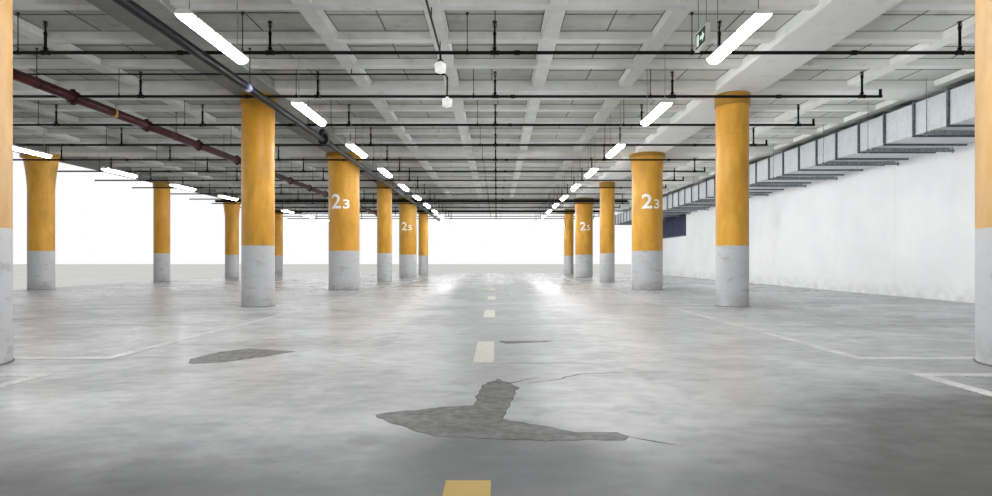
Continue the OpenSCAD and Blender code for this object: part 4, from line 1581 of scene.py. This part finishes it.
@dataclass
class Pipework(Part):
    """Sprinkler branches, mains and conduits with their tees, couplings, nuts and bands."""

    branch_r: float = 0.021
    stub_r: float = 0.016
    stub_rise: float = 0.241
    end_rise: float = 0.311
    end_back: float = 0.3
    head_steps: tuple[int, ...] = (-4, -3, -2, -1, 0, 1)
    tee_run: Outline = ((0.006, 0.03), (0.01, 0.034), (0.01, 0.046), (0.006, 0.05))
    tee_stub: Outline = ((0.006, 0.0), (0.006, 0.045), (0.01, 0.049), (0.01, 0.062), (0.004, 0.066))
    plate_drop: float = 0.11
    head_nut: Point = (0.0125, -0.082, -0.068)
    bush: Outline = ((0.011, -0.068), (0.013, -0.06), (0.011, -0.052))
    arm: Outline = ((0.011, -0.066), (0.021, -0.045), (0.021, -0.02), (0.008, -0.003))
    arm_half: float = 0.003
    arm_lap: float = 0.002
    teeth: Pair = (0.026, 0.032)
    teeth_count: int = 24
    teeth_low: float = -0.0012
    teeth_t: float = 0.0016
    reducer: Outline = ((0.005, -0.03), (0.005, 0.0), (-0.005, 0.018))
    sleeve: Outline = ((0.009, 0.032), (0.005, 0.036))
    sleeve_x: tuple[float, ...] = (-9.18, -3.78, 0.27, 4.32)
    hanger_nut_r: float = 0.0105
    hanger_nuts: Outline = ((0.0, 0.009), (0.012, 0.021))
    hanger_top: float = 0.03
    lug: float = 0.024
    lug_sunk: float = 0.008
    lug_half: Pair = (0.022, 0.02)
    lug_edge: float = 0.005
    lug_bolt: Bolt = Bolt(0.01, 0.006, 0.026, 0.009)
    key: Outline = ((0.005, 0.002), (0.0, 0.003))
    key_off: float = 0.035
    clip_y: float = -8.25
    clip_ring: Outline = ((0.0785, 0.018), (0.0755, 0.02))
    tag: Outline = ((0.03, -0.004), (0.032, 0.0), (0.03, 0.004))
    tag_off: Point = (0.07, -0.02, -0.06)
    flange_r: float = 0.1
    flange_past: float = 1.63
    flange_bolt: Bolt = Bolt(0.012, 0.007, 0.03, 0.012)
    flange_bolts: int = 8
    flange_bolts_r: float = 0.08
    trunk_sleeve: Outline = ((0.064, 0.05), (0.058, 0.055))
    sleeve_past: float = 2.0
    sleeve_room: float = 0.1
    band_r: Pair = (0.0568, 0.0555)
    bands: tuple[tuple[str, str, str, tuple[float, ...], float], ...] = (
        ("trunk_bands_blue", "#1B2A66", "#162253", (-9.975, -9.835), 0.025),
        ("trunk_band_white", "#9AA0AC", "#858B97", (-9.905,), 0.045))

    def dress_nodes(self) -> None:
        """Gives the pipes their paint."""
        self.black = PipePaint("black_pipe_paint", "#050404", "#0E0808").build()
        self.maroon = PipePaint("maroon_pipe_paint", "#350F13", "#4A191C").build()
        self.slate = PipePaint("slate_pipe_paint", "#08080B", "#101014", "#2B2A2F", 0.45).build()
        dress(self.black, "sprinkler_pipes_1", "sprinkler_pipes_2", "sprinkler_pipes_3",
              "sprinkler_hangers", "cross_mains", "main_hangers", "detector_conduits")
        dress(self.maroon, "fire_main")
        dress(self.slate, "trunk_pipe")

    def branches(self) -> list[Point]:
        """Finds the branch pipes.

        Returns:
            Place along the aisle, height of the axis and far end of each.
        """
        found: dict[float, Solid] = {}
        for part in (1, 2, 3):
            for pipe in solids_of(f"sprinkler_pipes_{part}"):
                key = round(pipe.mid.y, 2)
                if key not in found or pipe.high.x > found[key].high.x:
                    found[key] = pipe
        return [(pipe.mid.y, pipe.low.z + self.branch_r, pipe.high.x) for pipe in found.values()]

    def heads(self) -> list[tuple[float, float, float, bool]]:
        """Lists the sprinkler heads.

        Returns:
            Place along X and Y, height of the branch's axis, and whether it is the one by the end.
        """
        step = (self.levels.rows[2] - self.levels.rows[1]) / 3
        return [(x, y, z, last) for y, z, end in self.branches()
                for x, last in (*((k * step, False) for k in self.head_steps), (end - self.end_back, True))]

    def add_tees(self) -> None:
        """Adds the threaded tee under every head's stub."""
        unit = Sketch()
        unit.lathe(mirrored(widened(self.tee_run, self.branch_r)), 12, Lie.ACROSS.place)
        unit.lathe(widened(self.tee_stub, self.stub_r), 12)
        places = [(x, y, z) for x, y, z, _ in self.heads()]
        self.repeat.make(unit.done("sprinkler_tees"), places, self.black, "black_steel", smooth=True)

    def add_heads(self) -> None:
        """Adds each head's bush, frame arms and toothed deflector."""
        unit = Sketch()
        unit.nut(*self.head_nut)
        unit.lathe(self.bush, 8)
        half = self.arm_half
        for side, ((x0, z0), (x1, z1)) in product((-1, 1), zip(self.arm, self.arm[1:])):
            along = Vector((side * (x1 - x0), 0, z1 - z0))
            turn = along.to_track_quat("Z", "Y").to_matrix().to_4x4()
            unit.prism([(half, -half), (half, half), (-half, half), (-half, -half)],
                       along.length + self.arm_lap, Matrix.Translation((side * x0, 0, z0)) @ turn)
        rim = [(self.teeth[i % 2] * c, self.teeth[i % 2] * s)
               for i, (c, s) in enumerate(circle(self.teeth_count))]
        unit.prism(rim, self.teeth_t, Matrix.Translation((0, 0, self.teeth_low)))
        places = [(x, y, self.levels.deck - self.plate_drop) for x, y, _, _ in self.heads()]
        bronze = PlatedSteel("tarnished_bronze", "#3A3026", "#241D18", 0.4).build()
        self.repeat.make(unit.done("sprinkler_frames"), places, bronze, "black_steel", wobble=0.05)

    def add_reducers(self) -> None:
        """Adds the reducer between each stub and its head."""
        unit = Sketch()
        unit.lathe(widened(self.reducer, self.stub_r), 10)
        places = [(x, y, z + (self.end_rise if last else self.stub_rise)) for x, y, z, last in self.heads()]
        self.repeat.make(unit.done("stub_reducers"), places, self.black, "black_steel", smooth=True)

    def add_sleeves(self) -> None:
        """Adds the threaded sleeves that join the lengths of the branch pipes."""
        unit = Sketch()
        unit.lathe(mirrored(widened(self.sleeve, self.branch_r)), 12, Lie.ACROSS.place)
        places = [(x, y, z) for y, z, _ in self.branches() for x in self.sleeve_x]
        self.repeat.make(unit.done("branch_sleeves"), places, self.black, "black_steel", smooth=True)

    def add_hanger_nuts(self) -> None:
        """Adds the nuts on the hangers' rods, over the bands and under the plates."""
        unit = Sketch()
        for low, high in self.hanger_nuts:
            unit.nut(self.hanger_nut_r, low, high)
        places = []
        for hanger in solids_of("sprinkler_hangers") + solids_of("main_hangers"):
            band = max(hanger.size.x, hanger.size.y)
            places += [(hanger.mid.x, hanger.mid.y, z)
                       for z in (hanger.low.z + band, hanger.high.z - self.hanger_top)]
        self.repeat.make(unit.done("hanger_nuts"), places, self.black, "black_steel")

    def add_main_lugs(self) -> None:
        """Adds the bolt pads of the grooved couplings on the fire main, with their bolts and keys."""
        low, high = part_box("fire_main")
        mid, radius = (low + high) / 2, (high.z - low.z) / 2
        across, along = self.lug_half
        unit = Sketch()
        for side in (-1, 1):
            low_z, high_z = sorted((side * (radius - self.lug_sunk), side * (radius + self.lug)))
            unit.block((-across, across), (-along, along), (low_z, high_z), self.lug_edge)
            unit.lathe(self.lug_bolt.profile(), 6, Lie.ACROSS.at(MM, 0, side * (radius + self.lug / 2)))
        for y in (-self.key_off, self.key_off):
            unit.lathe(mirrored(widened(self.key, radius)), 32, Lie.ALONG.at(0, y, 0))
        places = [(mid.x, y, mid.z) for y, _, _ in self.branches()]
        self.repeat.make(unit.done("main_coupling_lugs"), places, self.maroon, "maroon_steel", smooth=True)

    def add_clip(self) -> None:
        """Adds the plain yellow clip on the fire main, with its round tag."""
        x, _, z = middle("fire_main")
        off_x, off_y, off_z = self.tag_off
        sketch = Sketch()
        sketch.lathe(mirrored(self.clip_ring), 32, Lie.ALONG.at(x, self.clip_y, z))
        sketch.lathe(self.tag, 20, Lie.ALONG.at(x + off_x, self.clip_y + off_y, z + off_z))
        add_piece(sketch.done("main_clip"), Moulding("yellow_pvc_clip", "#D8BE4A", "#C4A93C").build(),
                  True)

    def add_trunk_pieces(self) -> None:
        """Adds the trunk pipe's flange bolts, its sleeves and the plain blue and pale bands."""
        low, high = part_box("trunk_pipe")
        x, z = (low.x + high.x) / 2, low.z + self.flange_r
        y = self.levels.lines[1] + self.flange_past
        bolt, sleeve = Sketch(), Sketch()
        bolt.lathe(self.flange_bolt.profile(), 6, Lie.ALONG.place)
        places = [(x + self.flange_bolts_r * c, y, z + self.flange_bolts_r * s)
                  for c, s in circle(self.flange_bolts, 0.5)]
        self.repeat.make(bolt.done("trunk_flange_bolts"), places, self.black, "black_steel")
        sleeve.lathe(mirrored(self.trunk_sleeve), 24, Lie.ALONG.place)
        places = [(x, line + self.sleeve_past, z) for line in self.levels.lines[1:]
                  if line + self.sleeve_past + self.sleeve_room < self.levels.far]
        self.repeat.make(sleeve.done("trunk_sleeves"), places, self.slate, "slate_steel", smooth=True)
        outer, edge = self.band_r
        for name, colour, shade, mids, half in self.bands:
            sketch = Sketch()
            for mid in mids:
                sketch.lathe(mirrored([(outer, half - MM), (edge, half)]), 32, Lie.ALONG.at(x, mid, z))
            add_piece(sketch.done(name), Moulding(f"{name}_vinyl", colour, shade, 0.3).build(),
                      True)

    def build(self) -> None:
        """Adds the pipes' pieces."""
        self.add_tees()
        self.add_heads()
        self.add_reducers()
        self.add_sleeves()
        self.add_hanger_nuts()
        self.add_main_lugs()
        self.add_clip()
        self.add_trunk_pieces()


@dataclass
class Lighting(Part):
    """Three rows of lamps, each with its brackets, clips and end plates."""

    powers: tuple[tuple[str, float, float], ...] = (
        ("left", 260.0, 40.0), ("right", 315.0, 46.0), ("outer", 230.0, 34.0))
    rod_gap: float = 0.9
    plate_t: float = 0.006
    plate_lap: float = 0.002
    shoulder: float = 0.028
    bracket: Point = (0.048, 0.018, 0.006)
    bracket_drop: float = 0.02
    nut_r: float = 0.0095
    nuts: Outline = ((0.0, 0.008), (0.014, 0.022))
    clip: Point = (0.0025, 0.011, 0.013)
    clip_edge: float = 0.0008
    clip_places: tuple[float, ...] = (-0.46, -0.155, 0.155, 0.46)

    def dress_nodes(self) -> None:
        """Gives the lamps their enamel and their glow."""
        self.enamel = Enamel("white_enamel", "#EFEFEC", "#E0E0DC").build()
        self.plated = PlatedSteel("zinc_plated_lamp_rod").build()
        for row, side, down in self.powers:
            dress(self.enamel, f"lamp_housings_{row}")
            dress(OpalDiffuser(f"opal_acrylic_{row}", side, down).build(), f"lamp_diffusers_{row}")
        dress(self.plated, "lamp_rods")

    def housings(self) -> list[Solid]:
        """Lists every lamp's housing."""
        return [solid for row, _, _ in self.powers for solid in solids_of(f"lamp_housings_{row}")]

    def add_brackets(self) -> None:
        """Adds the channel bracket and the nuts where each rod meets its housing."""
        half, deep, thick = self.bracket
        unit = Sketch()
        unit.block((-half, half), (-deep, deep), (0.0, thick), MM)
        for side in (-1, 1):
            unit.block(about(side * half, thick / 2), (-deep, deep), (-self.bracket_drop, thick))
        for low, high in self.nuts:
            unit.nut(self.nut_r, thick + low, thick + high)
        places = [(lamp.mid.x, y, lamp.high.z) for lamp in self.housings()
                  for y in about(lamp.mid.y, self.rod_gap / 2)]
        self.repeat.make(unit.done("lamp_brackets"), places, self.plated, "zinc_steel")

    def add_end_plates(self) -> None:
        """Adds the pressed plate that closes each end of a housing."""
        lamp, lap = self.housings()[0], self.plate_lap
        w, h = lamp.size.x / 2, lamp.size.z
        unit = Sketch()
        unit.prism([(w + lap, -2 * lap), (w + lap, h / 3), (w - self.shoulder, h + lap),
                    (self.shoulder - w, h + lap), (-w - lap, h / 3), (-w - lap, -2 * lap)], self.plate_t,
                   Matrix(((1, 0, 0, 0), (0, 0, -1, 0), (0, 1, 0, 0), (0, 0, 0, 1))))
        places = [(lamp.mid.x, y, lamp.low.z) for lamp in self.housings()
                  for y in (lamp.low.y, lamp.high.y + self.plate_t)]
        self.repeat.make(unit.done("lamp_end_plates"), places, self.enamel, "lamp_enamel")

    def add_clips(self) -> None:
        """Adds the spring clips that hold each diffuser to its housing."""
        half, deep, tall = self.clip
        unit = Sketch()
        for x in about(0.0, self.housings()[0].size.x / 2):
            unit.block(about(x, half), (-deep, deep), about(MM, tall), self.clip_edge)
        places = [(lamp.mid.x, lamp.mid.y + y, lamp.low.z) for lamp in self.housings()
                  for y in self.clip_places]
        self.repeat.make(unit.done("diffuser_clips"), places, self.plated, "zinc_steel")

    def build(self) -> None:
        """Adds the lamps' pieces."""
        self.add_brackets()
        self.add_end_plates()
        self.add_clips()


@dataclass
class Signs(Part):
    """Exit sign, board on the wall and pendent detectors."""

    frame_w: float = 0.012
    frame_out: float = 0.003
    arrow: Outline = ((-0.11, 0.0), (-0.05, -0.05), (-0.05, -0.018), (0.02, -0.018), (0.02, 0.018),
                      (-0.05, 0.018), (-0.05, 0.05))
    door: Outline = ((0.05, -0.06), (0.115, -0.06), (0.115, 0.06), (0.05, 0.06))
    mark_t: float = 0.0025
    mark_out: float = 0.0015
    board_w: float = 0.05
    board_out: float = 0.008
    board_in: float = 0.01
    trim_edge: float = 0.003
    strips: Outline = ((1.0, 1.0), (0.5, 0.6), (0.5, 0.6), (1.0, 1.0))
    strip_edge: float = 0.002
    screw: Outline = ((0.008, 0.0), (0.007, 0.003), (0.003, 0.004))
    screws: int = 10
    screw_in: float = 0.1
    rib: tuple[Pair, Pair, Pair] = ((0.05, 0.072), (-0.002, 0.002), (0.016, 0.086))
    ribs: int = 16
    collar: Outline = ((0.03, 0.0), (0.034, 0.004), (0.034, 0.018), (0.018, 0.026))
    collar_drop: float = 0.012

    def dress_nodes(self) -> None:
        """Gives sign, board and detectors their finishes."""
        # The detectors' plastic glows faintly, a painted glow; they are no lamps.
        self.plastic = Moulding("detector_white_abs", "#F4F4F2", "#E6E6E4", 0.35, 0.35).build()
        dress(Moulding("sign_green_acrylic", "#123A2A", "#0E3022", 0.2, 0.05).build(), "exit_sign")
        dress(PlatedSteel("zinc_plated_sign_rod").build(), "exit_sign_rods")
        dress(self.plastic, "detectors")
        dress(Enamel("navy_enamel", "#15173A", "#1B1E45", 0.6).build(), "wall_board")

    def add_sign_frame(self) -> None:
        """Adds the sign's white frame and, on both faces, a plain arrow beside a doorway."""
        low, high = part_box("exit_sign")
        w, out = self.frame_w, self.frame_out
        across = (low.x - out, high.x + out)
        rim, marks = Sketch(), Sketch()
        for z in ((low.z - out, low.z + w), (high.z - w, high.z + out)):
            rim.block(across, (low.y - out, high.y + out), z, MM)
        for y in ((low.y - out, low.y + w), (high.y - w, high.y + out)):
            rim.block(across, y, (low.z + w, high.z - w), MM)
        mid = (low + high) / 2
        starts = (low.x - self.mark_out, high.x + self.mark_out - self.mark_t)
        for x, mark in product(starts, (self.arrow, self.door)):
            marks.prism(mark, self.mark_t,
                        Matrix(((0, 0, 1, x), (1, 0, 0, mid.y), (0, 1, 0, mid.z), (0, 0, 0, 1))))
        add_piece(rim.done("exit_sign_frame"), Enamel("sign_frame_enamel", "#F2F2EF", "#E4E4E0").build())
        add_piece(marks.done("exit_sign_marks"),
                  Moulding("sign_pale_acrylic", "#DFF0E4", "#C9E0D0", 0.3, 0.5).build())

    def add_board_frame(self) -> None:
        """Adds the board's edge trim, the cover strips over its joints and its screws."""
        low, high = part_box("wall_board")
        f, out, back = self.board_w, self.board_out, low.x + self.board_in
        sketch = Sketch()
        for z in ((low.z, low.z + f), (high.z - f, high.z)):
            sketch.block((low.x - out, back), (low.y, high.y), z, self.trim_edge)
        for i, (rise, wide) in enumerate(self.strips):
            y = low.y + (high.y - low.y - f) * i / (len(self.strips) - 1)
            sketch.block((low.x - out * rise, back), (y, y + f * wide), (low.z + f, high.z - f),
                         self.strip_edge)
        trim = Enamel("navy_trim_enamel", "#1D1F42", "#26284E", 0.35).build()
        add_piece(sketch.done("board_frame"), trim)
        screw = Sketch()
        screw.lathe(self.screw, 10, Matrix.Rotation(-math.pi / 2, 4, "Y"))
        length = high.y - low.y - 2 * self.screw_in
        places = [(low.x - out, low.y + self.screw_in + length * i / (self.screws - 1), z)
                  for i in range(self.screws) for z in (low.z + f / 2, high.z - f / 2)]
        self.repeat.make(screw.done("board_screws"), places, PlatedSteel("plated_screw").build(),
                         "board_enamel", smooth=True)

    def add_detector_cages(self) -> None:
        """Adds the ribs round each detector's chamber and the collar on its tube."""
        rib, collar = Sketch(), Sketch()
        rib.block(*self.rib)
        collar.lathe(self.collar, 20)
        bodies = solids_of("detectors")
        around = range(self.ribs)
        feet = [(body.mid.x, body.mid.y, body.low.z) for body in bodies for _ in around]
        tops = [(body.mid.x, body.mid.y, body.high.z - self.collar_drop) for body in bodies]
        turns = [(0, 0, 2 * math.pi * i / self.ribs) for _ in bodies for i in around]
        self.repeat.make(rib.done("detector_ribs"), feet, self.plastic, "detector_plastic", turns)
        black = PipePaint("black_conduit_paint", "#060505", "#140C0C").build()
        self.repeat.make(collar.done("detector_collars"), tops, black, "black_steel", smooth=True)

    def build(self) -> None:
        """Adds the signs' and detectors' pieces."""
        self.add_sign_frame()
        self.add_board_frame()
        self.add_detector_cages()


def main() -> None:
    """Builds the looks of the storey in order."""
    logging.basicConfig(level=logging.INFO, format="%(name)s: %(message)s")
    View().set_up()
    bpy.context.scene.view_settings.view_transform = "Standard"
    Studio().set_up()
    levels = Levels.read()
    repeat = Repeat()
    for kind in (Ceiling, Columns, Ground, AirDuct, Pipework, Lighting, Signs):
        part = kind(levels, repeat)
        part.dress_nodes()
        part.build()
        LOG.info("%s done", kind.__name__)


if __name__ == "__main__":
    main()
